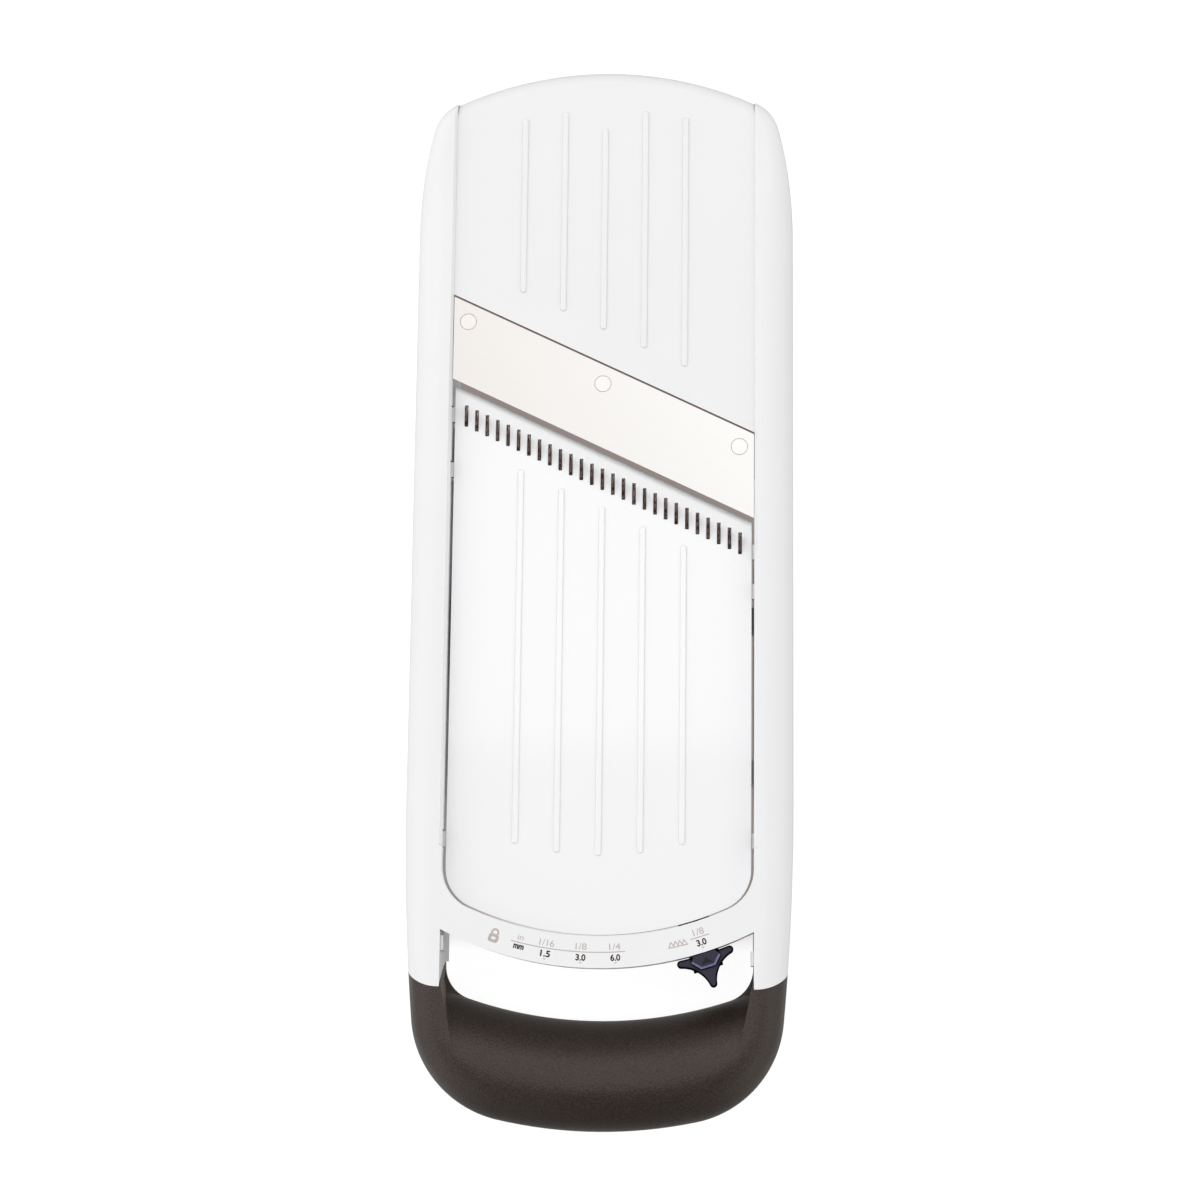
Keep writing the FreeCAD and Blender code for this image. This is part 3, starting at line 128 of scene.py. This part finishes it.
def add(tree, kind, inputs=None, **settings):
    """Adds a node, sets it and links its inputs. A node as an input stands for its first output."""
    node = tree.nodes.new(kind)
    for name, value in settings.items():
        setattr(node, name, value)
    for name, value in (inputs or {}).items():
        if isinstance(value, bpy.types.Node):
            value = value.outputs[0]
        if isinstance(value, bpy.types.NodeSocket):
            tree.links.new(value, node.inputs[name])
        else:
            node.inputs[name].default_value = value
    return node


def new_material(name):
    """An empty node material, its tree and the piece's own coordinates in metres."""
    made = bpy.data.materials.new(name)
    made.use_nodes = True
    made.node_tree.nodes.clear()
    place = add(made.node_tree, "ShaderNodeTexCoord").outputs["Object"]
    return made, made.node_tree, place


# Values of a noise texture seldom lie outside this span
NOISE_SPAN = {"From Min": 0.3, "From Max": 0.7}
ABS_IOR = 1.53
RUBBER_IOR = 1.5


def seam_painted_shade(tree, clean):
    """A colour darkened towards brown where ambient occlusion finds seams and inner corners: painted shade."""
    reach, nearly_open, nearly_shut, brown = 0.7 * MM, 0.84, 0.1, "6E564B"
    seam_occlusion = add(tree, "ShaderNodeAmbientOcclusion", {"Distance": reach}, samples=6)
    depth = add(tree, "ShaderNodeMapRange", {"Value": seam_occlusion.outputs["AO"], "From Min": nearly_open,
                                             "From Max": nearly_shut})
    return add(tree, "ShaderNodeMixRGB", {"Fac": depth, "Color1": clean, "Color2": linear(brown)})


# ABS moulded against a spark-eroded steel: an even satin that blurs the lights, with a slow
# unevenness where the melt flowed and cooled. The erosion's own pits, about 0.05 mm wide, are
# drawn ten times wider to show at all.
def satin_abs(name, pale, shade, gloss):
    made, tree, place = new_material(name)
    flow = add(tree, "ShaderNodeTexNoise", {"Vector": place, "Scale": 1 / (24 * MM), "Detail": 2.0})
    wiped = add(tree, "ShaderNodeTexNoise", {"Vector": place, "Scale": 1 / (5 * MM), "Detail": 3.0})
    pits = add(tree, "ShaderNodeTexNoise", {"Vector": place, "Scale": 1 / (0.5 * MM), "Detail": 3.0})
    colour = add(tree, "ShaderNodeMixRGB",
                 {"Fac": flow, "Color1": linear(pale), "Color2": linear(shade)})
    blur = add(tree, "ShaderNodeMapRange",
               {**NOISE_SPAN, "Value": wiped, "To Min": gloss - 0.04, "To Max": gloss + 0.04})
    sink = add(tree, "ShaderNodeBump", {"Height": flow, "Distance": 0.05 * MM, "Strength": 0.5})
    skin = add(tree, "ShaderNodeBump", {"Height": pits, "Distance": 0.004 * MM, "Normal": sink})
    shader = add(tree, "ShaderNodeBsdfPrincipled",
                 {"Base Color": seam_painted_shade(tree, colour), "Roughness": blur, "Normal": skin,
                  "IOR": ABS_IOR})
    add(tree, "ShaderNodeOutputMaterial", {"Surface": shader})
    return made


# ABS moulded against polished steel: a bright skin that mirrors the softbox, a little wavy over
# the ribs' sink marks. Food has drawn faint scuffs along it, about 0.3 mm wide.
def polished_abs(name, pale, shade):
    made, tree, place = new_material(name)
    waves = add(tree, "ShaderNodeTexNoise", {"Vector": place, "Scale": 1 / (40 * MM), "Detail": 1.0})
    lane = add(tree, "ShaderNodeMapping", {"Vector": place, "Scale": (0.3 * MM, 30 * MM, 1 * MM)},
               vector_type="TEXTURE")
    scuffs = add(tree, "ShaderNodeTexNoise", {"Vector": lane, "Scale": 1.0, "Detail": 2.0})
    colour = add(tree, "ShaderNodeMixRGB",
                 {"Fac": waves, "Color1": linear(pale), "Color2": linear(shade)})
    blur = add(tree, "ShaderNodeMapRange",
               {**NOISE_SPAN, "Value": scuffs, "To Min": 0.06, "To Max": 0.10})
    skin = add(tree, "ShaderNodeBump", {"Height": waves, "Distance": 0.04 * MM, "Strength": 0.5})
    shader = add(tree, "ShaderNodeBsdfPrincipled",
                 {"Base Color": seam_painted_shade(tree, colour), "Roughness": blur, "Normal": skin,
                  "IOR": ABS_IOR})
    add(tree, "ShaderNodeOutputMaterial", {"Surface": shader})
    return made


# Blue-black ABS of the thumb tab, moulded with faces of fine satin and a rounded rim: the faces look
# navy, and where the rim and the low sides turn away from the lights they are painted black and given
# no specular, as painted shade; the sunk pointer's floor is painted black as painted shade too. The
# bevel round the crown is painted pale as a painted highlight, in patches about 0.8 mm wide. The
# faces, the bevel and the pointer's floor are told apart by their depth below the crown.
def tab_abs_painted_light(name, shaded_rim_colour, face, bevel_highlight_colour, crown):
    faces_foot, faces_top = crown - 1.6 * MM, crown - 1.42 * MM
    bevel_foot, bevel_start = crown - 0.64 * MM, crown - 0.54 * MM
    pointer_top, pointer_floor = crown - 0.03 * MM, crown - 0.08 * MM
    rim_width = 1.2 * MM
    made, tree, place = new_material(name)
    level = add(tree, "ShaderNodeSeparateXYZ", {"Vector": place}).outputs["Z"]
    wear_and_highlight_noise = add(tree, "ShaderNodeTexNoise", {"Vector": place, "Scale": 1 / (0.8 * MM), "Detail": 3.0})
    faces = add(tree, "ShaderNodeMapRange",
                {"Value": level, "From Min": faces_foot, "From Max": faces_top})
    raised = add(tree, "ShaderNodeMapRange",
                 {"Value": level, "From Min": bevel_foot, "From Max": bevel_start})
    below = add(tree, "ShaderNodeMapRange",
                {"Value": level, "From Min": pointer_top, "From Max": pointer_floor})
    rounded = add(tree, "ShaderNodeBevel", {"Radius": rim_width}, samples=8)
    lean = add(tree, "ShaderNodeSeparateXYZ", {"Vector": rounded}).outputs["Z"]
    inside = add(tree, "ShaderNodeMapRange", {"Value": lean, "From Min": 0.92, "From Max": 0.99})
    facing = add(tree, "ShaderNodeTexCoord").outputs["Normal"]
    slope = add(tree, "ShaderNodeSeparateXYZ", {"Vector": facing}).outputs["Z"]
    tilted = add(tree, "ShaderNodeMapRange", {"Value": slope, "From Min": 0.93, "From Max": 0.8})
    bevel = add(tree, "ShaderNodeMath", {0: raised, 1: tilted}, operation="MULTIPLY")
    highlight_patches = add(tree, "ShaderNodeMapRange", {**NOISE_SPAN, "Value": wear_and_highlight_noise, "To Min": 0.7})
    # Painted highlight: the tilted bevel round the crown painted pale, in patches.
    painted_bevel_highlight = add(tree, "ShaderNodeMath", {0: bevel, 1: highlight_patches}, operation="MULTIPLY")
    off_rim = add(tree, "ShaderNodeMath", {0: inside, 1: raised}, operation="MAXIMUM")
    # Painted shade: the rim and the low sides keep the black colour and no specular.
    satin_unshaded = add(tree, "ShaderNodeMath", {0: faces, 1: off_rim}, operation="MULTIPLY")
    # Painted shade: the sunk pointer's floor painted black.
    pointer = add(tree, "ShaderNodeMath", {0: below, 1: raised}, operation="MULTIPLY")
    top = add(tree, "ShaderNodeMixRGB",
              {"Fac": satin_unshaded, "Color1": linear(shaded_rim_colour), "Color2": linear(face)})
    sunk = add(tree, "ShaderNodeMixRGB", {"Fac": pointer, "Color1": top, "Color2": linear(shaded_rim_colour)})
    colour = add(tree, "ShaderNodeMixRGB", {"Fac": painted_bevel_highlight, "Color1": sunk, "Color2": linear(bevel_highlight_colour)})
    blur = add(tree, "ShaderNodeMapRange",
               {**NOISE_SPAN, "Value": wear_and_highlight_noise, "To Min": 0.32, "To Max": 0.42})
    shine = add(tree, "ShaderNodeMapRange", {"Value": satin_unshaded, "To Max": 0.25})
    skin = add(tree, "ShaderNodeBump", {"Height": wear_and_highlight_noise, "Distance": 0.01 * MM, "Strength": 0.5})
    shader = add(tree, "ShaderNodeBsdfPrincipled",
                 {"Base Color": colour, "Roughness": blur, "Normal": skin, "IOR": ABS_IOR,
                  "Specular IOR Level": shine})
    add(tree, "ShaderNodeOutputMaterial", {"Surface": shader})
    return made


# Thermoplastic rubber moulded over the handle's core, its mould eroded to a leathery grain: a warm
# charcoal, painted grey on the crests of the fine pores as a painted highlight. The 0.3 mm grain is
# drawn at 0.6 mm and the finer pores in it at 0.5 mm, and hands have smoothed it in patches.
def soft_rubber(name, crest_painted_light, hollow):
    made, tree, place = new_material(name)
    pebbles = add(tree, "ShaderNodeTexVoronoi", {"Vector": place, "Scale": 1 / (0.6 * MM)})
    pores = add(tree, "ShaderNodeTexNoise", {"Vector": place, "Scale": 1 / (0.5 * MM), "Detail": 3.0})
    held = add(tree, "ShaderNodeTexNoise", {"Vector": place, "Scale": 1 / (18 * MM), "Detail": 2.0})
    # Painted highlight: the pores' crests coloured lighter, as if lit.
    crest_highlight = add(tree, "ShaderNodeMapRange", {"Value": pores, "From Min": 0.35, "From Max": 0.65})
    colour = add(tree, "ShaderNodeMixRGB",
                 {"Fac": crest_highlight, "Color1": linear(hollow), "Color2": linear(crest_painted_light)})
    blur = add(tree, "ShaderNodeMapRange",
               {**NOISE_SPAN, "Value": held, "To Min": 0.32, "To Max": 0.39})
    grain = add(tree, "ShaderNodeBump",
                {"Height": pebbles, "Distance": 0.05 * MM, "Strength": 0.7}, invert=True)
    skin = add(tree, "ShaderNodeBump", {"Height": pores, "Distance": 0.11 * MM, "Normal": grain})
    shader = add(tree, "ShaderNodeBsdfPrincipled",
                 {"Base Color": colour, "Roughness": blur, "Normal": skin, "IOR": RUBBER_IOR,
                  "Specular Tint": linear("FFF0E8"), "Sheen Weight": 0.2, "Sheen Roughness": 0.2,
                  "Sheen Tint": linear("FFD6BA")})
    add(tree, "ShaderNodeOutputMaterial", {"Surface": shader})
    return made


# Stainless strip ground lengthways on a belt: fine parallel scratches that stretch each reflection
# across them, and a tone that drifts a little from one end of the strip to the other. The
# grit's 0.03 mm scratches are drawn at 0.22 mm. A band along one given edge is painted dark brown,
# as painted shade of the seam beside it. Ends that face up are painted brown as painted shade of
# the slots they stand in, paler in random spots about 0.9 mm wide.
def ground_steel(name, warm, cool, gloss, turn, up_shade=None, shaded_edge=None):
    scratch_length, scratch_width = 60 * MM, 0.22 * MM
    edge_shade_start, edge_shade_full, edge_shade_brown = 0.50 * MM, 0.36 * MM, "6A5B55"
    up_shade_pale_spots = "D8BDB2"
    made, tree, place = new_material(name)
    belt = add(tree, "ShaderNodeMapping",
               {"Vector": place, "Rotation": turn,
                "Scale": (scratch_length, scratch_width, scratch_width)}, vector_type="TEXTURE")
    scratches = add(tree, "ShaderNodeTexNoise", {"Vector": belt, "Scale": 1.0, "Detail": 3.0})
    clouds = add(tree, "ShaderNodeTexNoise", {"Vector": place, "Scale": 1 / (9 * MM), "Detail": 2.0})
    along = add(tree, "ShaderNodeSeparateXYZ", {"Vector": place})
    drift = add(tree, "ShaderNodeMapRange",
                {"Value": along, "From Min": BLADE_LEFT, "From Max": BLADE_RIGHT})
    streaks = add(tree, "ShaderNodeMapRange",
                  {**NOISE_SPAN, "Value": scratches, "To Min": 0.98, "To Max": 1.0})
    strip = add(tree, "ShaderNodeMixRGB",
                {"Fac": drift, "Color1": linear(warm), "Color2": linear(cool)})
    colour = add(tree, "ShaderNodeMixRGB", {"Fac": 1.0, "Color1": strip, "Color2": streaks},
                 blend_type="MULTIPLY")
    blur = add(tree, "ShaderNodeMapRange",
               {**NOISE_SPAN, "Value": clouds, "To Min": gloss - 0.005, "To Max": gloss + 0.005})
    # Painted shade: a dark brown band along the given edge, for the seam's shade beside it.
    if shaded_edge:
        across = add(tree, "ShaderNodeSeparateXYZ", {"Vector": belt}).outputs["Y"]
        edge_shade = add(tree, "ShaderNodeMapRange",
                   {"Value": across, "From Min": (shaded_edge - edge_shade_start) / scratch_width,
                    "From Max": (shaded_edge - edge_shade_full) / scratch_width})
        colour = add(tree, "ShaderNodeMixRGB",
                     {"Fac": edge_shade, "Color1": colour, "Color2": linear(edge_shade_brown)})
    # Painted shade: faces that point up are painted brown, paler in random spots.
    if up_shade:
        facing = add(tree, "ShaderNodeTexCoord").outputs["Normal"]
        upward = add(tree, "ShaderNodeSeparateXYZ", {"Vector": facing}).outputs["Z"]
        spot_noise = add(tree, "ShaderNodeTexNoise",
                     {"Vector": place, "Scale": 1 / (0.9 * MM), "Detail": 2.0})
        spots = add(tree, "ShaderNodeMapRange", {"Value": spot_noise, "From Min": 0.40, "From Max": 0.62,
                                                 "To Max": 0.8})
        painted_up_shade = add(tree, "ShaderNodeMixRGB",
                      {"Fac": spots, "Color1": linear(up_shade), "Color2": linear(up_shade_pale_spots)})
        ends = add(tree, "ShaderNodeMapRange", {"Value": upward, "From Min": 0.1, "From Max": 0.3})
        colour = add(tree, "ShaderNodeMixRGB", {"Fac": ends, "Color1": colour, "Color2": painted_up_shade})
    skin = add(tree, "ShaderNodeBump",
               {"Height": scratches, "Distance": 0.001 * MM, "Strength": 0.5})
    shader = add(tree, "ShaderNodeBsdfPrincipled",
                 {"Base Color": colour, "Metallic": 1.0, "Roughness": blur, "Normal": skin})
    add(tree, "ShaderNodeOutputMaterial", {"Surface": shader})
    return made


# Pad-printed ink: a matt film a few hundredths of a millimetre thick that lets the white through
# where it lies thinly, in spots about 0.4 mm wide.
def printed_ink(name, dense, thin):
    made, tree, place = new_material(name)
    film = add(tree, "ShaderNodeTexNoise", {"Vector": place, "Scale": 1 / (0.4 * MM), "Detail": 2.0})
    colour = add(tree, "ShaderNodeMixRGB",
                 {"Fac": film, "Color1": linear(dense), "Color2": linear(thin)})
    blur = add(tree, "ShaderNodeMapRange", {"Value": film, "To Min": 0.45, "To Max": 0.60})
    skin = add(tree, "ShaderNodeBump", {"Height": film, "Distance": 0.004 * MM, "Strength": 0.4})
    shader = add(tree, "ShaderNodeBsdfPrincipled",
                 {"Base Color": colour, "Roughness": blur, "Normal": skin})
    add(tree, "ShaderNodeOutputMaterial", {"Surface": shader})
    return made


# Coated paper off the roll: bright, matt and without a mark, with fibres about 2 mm long. In the
# open it glows with the light that a studio sends back from all round; where the slicer covers
# it the glow is dimmed and warmed, as if by the plastic above: a painted shadow.
def paper(name, covered_from, covered_to):
    made, tree, place = new_material(name)
    fibres = add(tree, "ShaderNodeTexNoise", {"Vector": place, "Scale": 1 / (2 * MM), "Detail": 3.0})
    colour = add(tree, "ShaderNodeMixRGB",
                 {"Fac": fibres, "Color1": linear("8A8A8A"), "Color2": linear("868686")})
    skin = add(tree, "ShaderNodeBump", {"Height": fibres, "Distance": 0.02 * MM, "Strength": 0.2})
    middle = (covered_from + covered_to) / 2
    half = (covered_to - covered_from) / 2
    cover = add(tree, "ShaderNodeMapping",
                {"Vector": place, "Location": (*middle, 0), "Scale": (*half, 1)},
                vector_type="TEXTURE")
    away = add(tree, "ShaderNodeVectorMath", {0: cover}, operation="ABSOLUTE")
    sides = add(tree, "ShaderNodeSeparateXYZ", {"Vector": away})
    reach = add(tree, "ShaderNodeMath", {0: sides, 1: sides.outputs["Y"]}, operation="MAXIMUM")
    open_air = add(tree, "ShaderNodeMapRange",
                   {"Value": reach, "From Min": COVERED_START, "From Max": COVERED_END},
                   interpolation_type="SMOOTHSTEP")
    # Painted shadow: a dim, warm glow where the slicer covers the paper.
    tint = add(tree, "ShaderNodeMixRGB",
               {"Fac": open_air, "Color1": linear("E8D2C8"), "Color2": linear("FFFFFF")})
    glow = add(tree, "ShaderNodeMapRange",
               {"Value": open_air, "To Min": COVERED_GLOW, "To Max": FLOOR_GLOW})
    shader = add(tree, "ShaderNodeBsdfPrincipled",
                 {"Base Color": colour, "Roughness": 0.9, "Normal": skin, "Specular IOR Level": 0.0,
                  "Emission Color": tint, "Emission Strength": glow})
    add(tree, "ShaderNodeOutputMaterial", {"Surface": shader})
    return made


# How the ground scratches run
ALONG_BLADE = (0, 0, -BLADE_ANGLE)
UPRIGHT = (0, math.radians(90), 0)
ACROSS = (0, 0, 0)

dark_ink = printed_ink("brown-black pad ink", "100A0B", "1A1314")
grey_ink = printed_ink("warm grey pad ink", "B2A7A3", "BEB3AF")

FINISHES = {
    "white_shell": satin_abs("white ABS, eroded mould", "E9E9EA", "E6E6E7", 0.38),
    "white_runway": polished_abs("white ABS, polished mould", "F3F3F4", "F1F1F2"),
    "white_acetal": satin_abs("white acetal", "E6E6E2", "E0E0DC", 0.30),
    "white_tray": satin_abs("white ABS, eroded mould, tray", "E6E6E6", "E1E1E1", 0.42),
    "dark_lever": tab_abs_painted_light("navy-black ABS", "08080D", "262334", "7C81A8", TAB_CROWN),
    "foot_rubber": soft_rubber("black moulded rubber", "232221", "1B1A1A"),
    "soft_grip": soft_rubber("charcoal thermoplastic rubber", "302721", "171311"),
    "blade_steel": ground_steel("ground stainless steel, blade", "D5D1CE", "E2E1DF", 0.28,
                                ALONG_BLADE, shaded_edge=BLADE_FAR),
    "rivet_steel": ground_steel("ground stainless steel, rivets", "D9D5D2", "E4E3E1", 0.26,
                                ALONG_BLADE),
    "teeth_steel": ground_steel("ground stainless steel, teeth", "F2F0EE", "F4F3F2", 0.18,
                                UPRIGHT, up_shade="5A382D"),
    "pin_steel": ground_steel("drawn steel", "C4C4C4", "CCCCCC", 0.28, ACROSS),
    "screw_steel": ground_steel("zinc-plated steel", "C6C8CB", "CED1D5", 0.34, ACROSS),
}


def dress_nodes():
    """Gives every CAD node the finish of its slot."""
    for row in frame["record"]["subparts"]:
        node = frame["nodes"][row["node"]]
        node.data.materials.clear()
        node.data.materials.append(FINISHES[row["material_slot"]])


def new_object(name, data):
    """A new object in the scene."""
    made = bpy.data.objects.new(name, data)
    bpy.context.scene.collection.objects.link(made)
    return made


def new_mesh(name, drawing):
    """A finished drawing as mesh data."""
    data = bpy.data.meshes.new(name)
    drawing.to_mesh(data)
    drawing.free()
    return data


def scale_place(radius, angle):
    """A place on the bridge about the pivot, in mm, for a drawing whose +Y points at the pivot."""
    turn = math.radians(angle)
    spot = Vector((radius * math.sin(turn), -radius * math.cos(turn), 0)) * MM
    spot += Vector((PIVOT.x, PIVOT.y, BRIDGE_TOP))
    return Matrix.Translation(spot) @ Matrix.Rotation(turn, 4, "Z") @ Matrix.Scale(MM, 4)


def stamp(film, drawing, place):
    """Moves a finished drawing to its place and adds it to the film."""
    bmesh.ops.transform(drawing, matrix=place, verts=drawing.verts)
    shape = new_mesh("stamp", drawing)
    film.from_mesh(shape)
    bpy.data.meshes.remove(shape)


def lettering(words, width, height, boldness=0.0):
    """Words fitted into a box of width and height, centred on the origin."""
    letters = bpy.data.curves.new("letters", "FONT")
    letters.body = words
    letters.offset = boldness
    carrier = new_object("letters", letters)
    drawn = carrier.evaluated_get(bpy.context.evaluated_depsgraph_get())
    shape = bpy.data.meshes.new_from_object(drawn)
    drawing = bmesh.new()
    drawing.from_mesh(shape)
    bpy.data.meshes.remove(shape)
    bpy.data.objects.remove(carrier)
    bpy.data.curves.remove(letters)
    xs = [vertex.co.x for vertex in drawing.verts]
    ys = [vertex.co.y for vertex in drawing.verts]
    middle = Vector((min(xs) + max(xs), min(ys) + max(ys), 0)) / 2
    bmesh.ops.translate(drawing, vec=-middle, verts=drawing.verts)
    fit = Vector((width / (max(xs) - min(xs)), height / (max(ys) - min(ys)), 1))
    bmesh.ops.scale(drawing, vec=fit, verts=drawing.verts)
    return drawing


def pen(drawing, first, second):
    """The pen's first touch: one edge as long as the stroke is wide."""
    ends = [drawing.verts.new((*first, 0)), drawing.verts.new((*second, 0))]
    return [*ends, drawing.edges.new(ends)]


def draw_to(drawing, nib, step):
    """Pulls the pen's edge along a straight step and returns the edge it ends on."""
    edges = [item for item in nib if isinstance(item, bmesh.types.BMEdge)]
    drawn = bmesh.ops.extrude_edge_only(drawing, edges=edges)["geom"]
    verts = [item for item in drawn if isinstance(item, bmesh.types.BMVert)]
    bmesh.ops.translate(drawing, vec=(*step, 0), verts=verts)
    edge = next(edge for edge in verts[0].link_edges if edge.other_vert(verts[0]) in verts)
    return [*verts, edge]


def draw_round(drawing, nib, centre, degrees, steps):
    """Swings the pen's edge about a centre and returns the edge it ends on."""
    return bmesh.ops.spin(drawing, geom=nib, cent=(*centre, 0), axis=(0, 0, 1),
                          angle=math.radians(degrees), steps=steps)["geom_last"]


def open_middle(drawing, wall):
    """Cuts out the middle of a drawing's one face and leaves a wall round it."""
    middle = drawing.faces[:]
    bmesh.ops.inset_individual(drawing, faces=middle, thickness=wall, use_even_offset=True)
    bmesh.ops.delete(drawing, geom=middle, context="FACES_ONLY")


def scale_line(start, end):
    """A thin line round the pivot between two angles."""
    drawing = bmesh.new()
    nib = pen(drawing, (0, -LINE_RADIUS + LINE_WIDTH / 2), (0, -LINE_RADIUS - LINE_WIDTH / 2))
    bmesh.ops.rotate(drawing, cent=(0, 0, 0), matrix=Matrix.Rotation(math.radians(start), 3, "Z"),
                     verts=drawing.verts)
    draw_round(drawing, nib, (0, 0), end - start, round((end - start) * LINE_STEPS_PER_DEGREE))
    return drawing


def tick():
    """A small chevron that points at the handle."""
    reach = 0.4
    drawing = bmesh.new()
    nib = pen(drawing, (-reach, LINE_WIDTH), (-reach, 0))
    nib = draw_to(drawing, nib, (reach, -reach))
    draw_to(drawing, nib, (reach, reach))
    return drawing


def padlock():
    """A closed padlock: a square body with round corners and an open middle, and its shackle."""
    width, height, corner, wall = 3.0, 2.5, 0.75, 0.85
    shackle, rise, bar = 0.92, 0.4, 0.58
    drop = height / 3
    top = height / 2 - drop
    drawing = bmesh.new()
    bmesh.ops.create_grid(drawing, x_segments=1, y_segments=1, size=0.5)
    bmesh.ops.scale(drawing, vec=(width, height, 1), verts=drawing.verts)
    bmesh.ops.translate(drawing, vec=(0, -drop, 0), verts=drawing.verts)
    bmesh.ops.bevel(drawing, geom=drawing.verts[:], offset=corner, affect="VERTICES", segments=4,
                    profile=0.5, material=-1)
    open_middle(drawing, wall)
    nib = pen(drawing, (shackle + bar / 2, top), (shackle - bar / 2, top))
    nib = draw_to(drawing, nib, (0, rise))
    nib = draw_round(drawing, nib, (0, top + rise), 180, 10)
    draw_to(drawing, nib, (0, -rise))
    return drawing


def strip_triangle(hidden):
    """A julienne strip: a triangle's outline, without the part behind the strip before it."""
    side = 2.2
    drawing = bmesh.new()
    bmesh.ops.create_circle(drawing, cap_ends=True, segments=3, radius=side / math.sqrt(3))
    open_middle(drawing, LINE_WIDTH)
    if hidden:
        slope = (math.cos(math.radians(30)), math.sin(math.radians(30)), 0)
        foot = (side / 2 - STRIP_STEP, -side / math.sqrt(12), 0)
        bmesh.ops.bisect_plane(drawing, geom=drawing.verts[:] + drawing.edges[:] + drawing.faces[:],
                               plane_co=foot, plane_no=slope, clear_inner=True)
    return drawing


def print_film(name, film, ink):
    """Raises the flat print by the ink's thickness and lets it ride on the body."""
    raised = bmesh.ops.extrude_face_region(film, geom=film.faces[:])["geom"]
    verts = [item for item in raised if isinstance(item, bmesh.types.BMVert)]
    bmesh.ops.translate(film, vec=(0, 0, INK_THICKNESS * MM), verts=verts)
    bmesh.ops.recalc_face_normals(film, faces=film.faces[:])
    piece = new_object(name, new_mesh(name, film))
    piece.data.materials.append(ink)
    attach(piece, "body")


def print_scale():
    """The two scales on the bridge, inches over millimetres, and their signs."""
    grey, dark = bmesh.new(), bmesh.new()
    stamp(grey, padlock(), scale_place(LINE_RADIUS, LOCK_ANGLE))
    stamp(grey, lettering("in", *INCH_UNIT_SIZE), scale_place(INCH_RADIUS, UNIT_ANGLE))
    stamp(dark, lettering("mm", *METRIC_UNIT_SIZE, METRIC_UNIT_BOLDNESS),
          scale_place(UNIT_RADIUS, UNIT_ANGLE))
    for start, end in LINE_SPANS:
        stamp(grey, scale_line(start, end), scale_place(0, 0))
    for angle, inches, inch_width, metric in SETTINGS:
        stamp(grey, lettering(inches, inch_width, FIGURE_HEIGHT), scale_place(INCH_RADIUS, angle))
        stamp(dark, lettering(metric, METRIC_WIDTH, FIGURE_HEIGHT, METRIC_BOLDNESS),
              scale_place(METRIC_RADIUS, angle))
        stamp(grey, tick(), scale_place(TICK_RADIUS, angle))
    sign = scale_place(STRIP_RADIUS, STRIP_ANGLE)
    for strip in range(STRIP_COUNT):
        shift = Matrix.Translation((strip * STRIP_STEP, 0, 0))
        stamp(grey, strip_triangle(strip > 0), sign @ shift)
    print_film("scale_grey_print", grey, grey_ink)
    print_film("scale_dark_print", dark, dark_ink)


def softbox(name, place, size, power):
    """A rectangular studio light that faces straight down."""
    lamp = bpy.data.lights.new(name, "AREA")
    lamp.shape = "RECTANGLE"
    lamp.size, lamp.size_y = size
    lamp.energy = power
    new_object(name, lamp).location = place


def light_studio():
    """A softbox beyond the far end, a strip over the handle, and a tent whose walls differ."""
    softbox("overhead softbox", OVERHEAD_PLACE, OVERHEAD_SIZE, OVERHEAD_POWER)
    softbox("handle strip", HANDLE_PLACE, HANDLE_SIZE, HANDLE_POWER)
    tent = bpy.data.worlds.new("light tent")
    tent.use_nodes = True
    tree = tent.node_tree
    tree.nodes.clear()
    heading = add(tree, "ShaderNodeTexCoord").outputs["Generated"]
    axes = add(tree, "ShaderNodeSeparateXYZ", {"Vector": heading})
    glow = ROOF
    for axis, side, brightness in WALLS:
        wall = add(tree, "ShaderNodeMapRange",
                   {"Value": axes.outputs[axis], "From Min": WALL_START * side,
                    "From Max": WALL_FULL * side, "To Min": ROOF, "To Max": brightness})
        glow = add(tree, "ShaderNodeMath", {0: wall, 1: glow}, operation="MAXIMUM")
    given = add(tree, "ShaderNodeMath", {0: glow, 1: FLOOR_BOUNCE}, operation="MULTIPLY")
    below = add(tree, "ShaderNodeMath", {0: given, 1: FLOOR_LEAST}, operation="MAXIMUM")
    strength = add(tree, "ShaderNodeMapRange",
                   {"Value": axes.outputs["Z"], "From Min": -HORIZON, "From Max": HORIZON,
                    "To Min": below, "To Max": glow})
    light = add(tree, "ShaderNodeBackground", {"Color": linear("FFFFFF"), "Strength": strength})
    add(tree, "ShaderNodeOutputWorld", {"Surface": light})
    bpy.context.scene.world = tent


def lay_floor():
    """A plain white sweep, dim under the runway and the blade. It shows, but lights nothing."""
    sheet = bmesh.new()
    bmesh.ops.create_grid(sheet, x_segments=1, y_segments=1, size=FLOOR_HALF)
    bmesh.ops.translate(sheet, vec=(0, 0, -FLOOR_DROP * MM), verts=sheet.verts)
    floor = new_object("floor", new_mesh("floor", sheet))
    left, right = (corner.x * COVERED_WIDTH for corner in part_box("frame"))
    covered_from = Vector((left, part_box("runway")[0].y))
    covered_to = Vector((right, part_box("main_blade")[1].y))
    floor.data.materials.append(paper("white paper sweep", covered_from, covered_to))
    floor.visible_diffuse = False
    floor.visible_glossy = False


def set_camera():
    """The photograph's view: almost straight down, from a little right of the handle."""
    lens = bpy.data.cameras.new("camera")
    lens.lens = CAMERA_LENS
    lens.sensor_width = SENSOR_WIDTH
    camera = new_object("camera", lens)
    stand = Matrix.Translation(CAMERA_PLACE)
    for axis, degrees in zip("XYZ", CAMERA_TURNS):
        stand = stand @ Matrix.Rotation(math.radians(degrees), 4, axis)
    camera.matrix_world = stand
    bpy.context.scene.camera = camera
    bpy.context.scene.view_settings.view_transform = "Standard"


dress_nodes()
print_scale()
light_studio()
lay_floor()
set_camera()
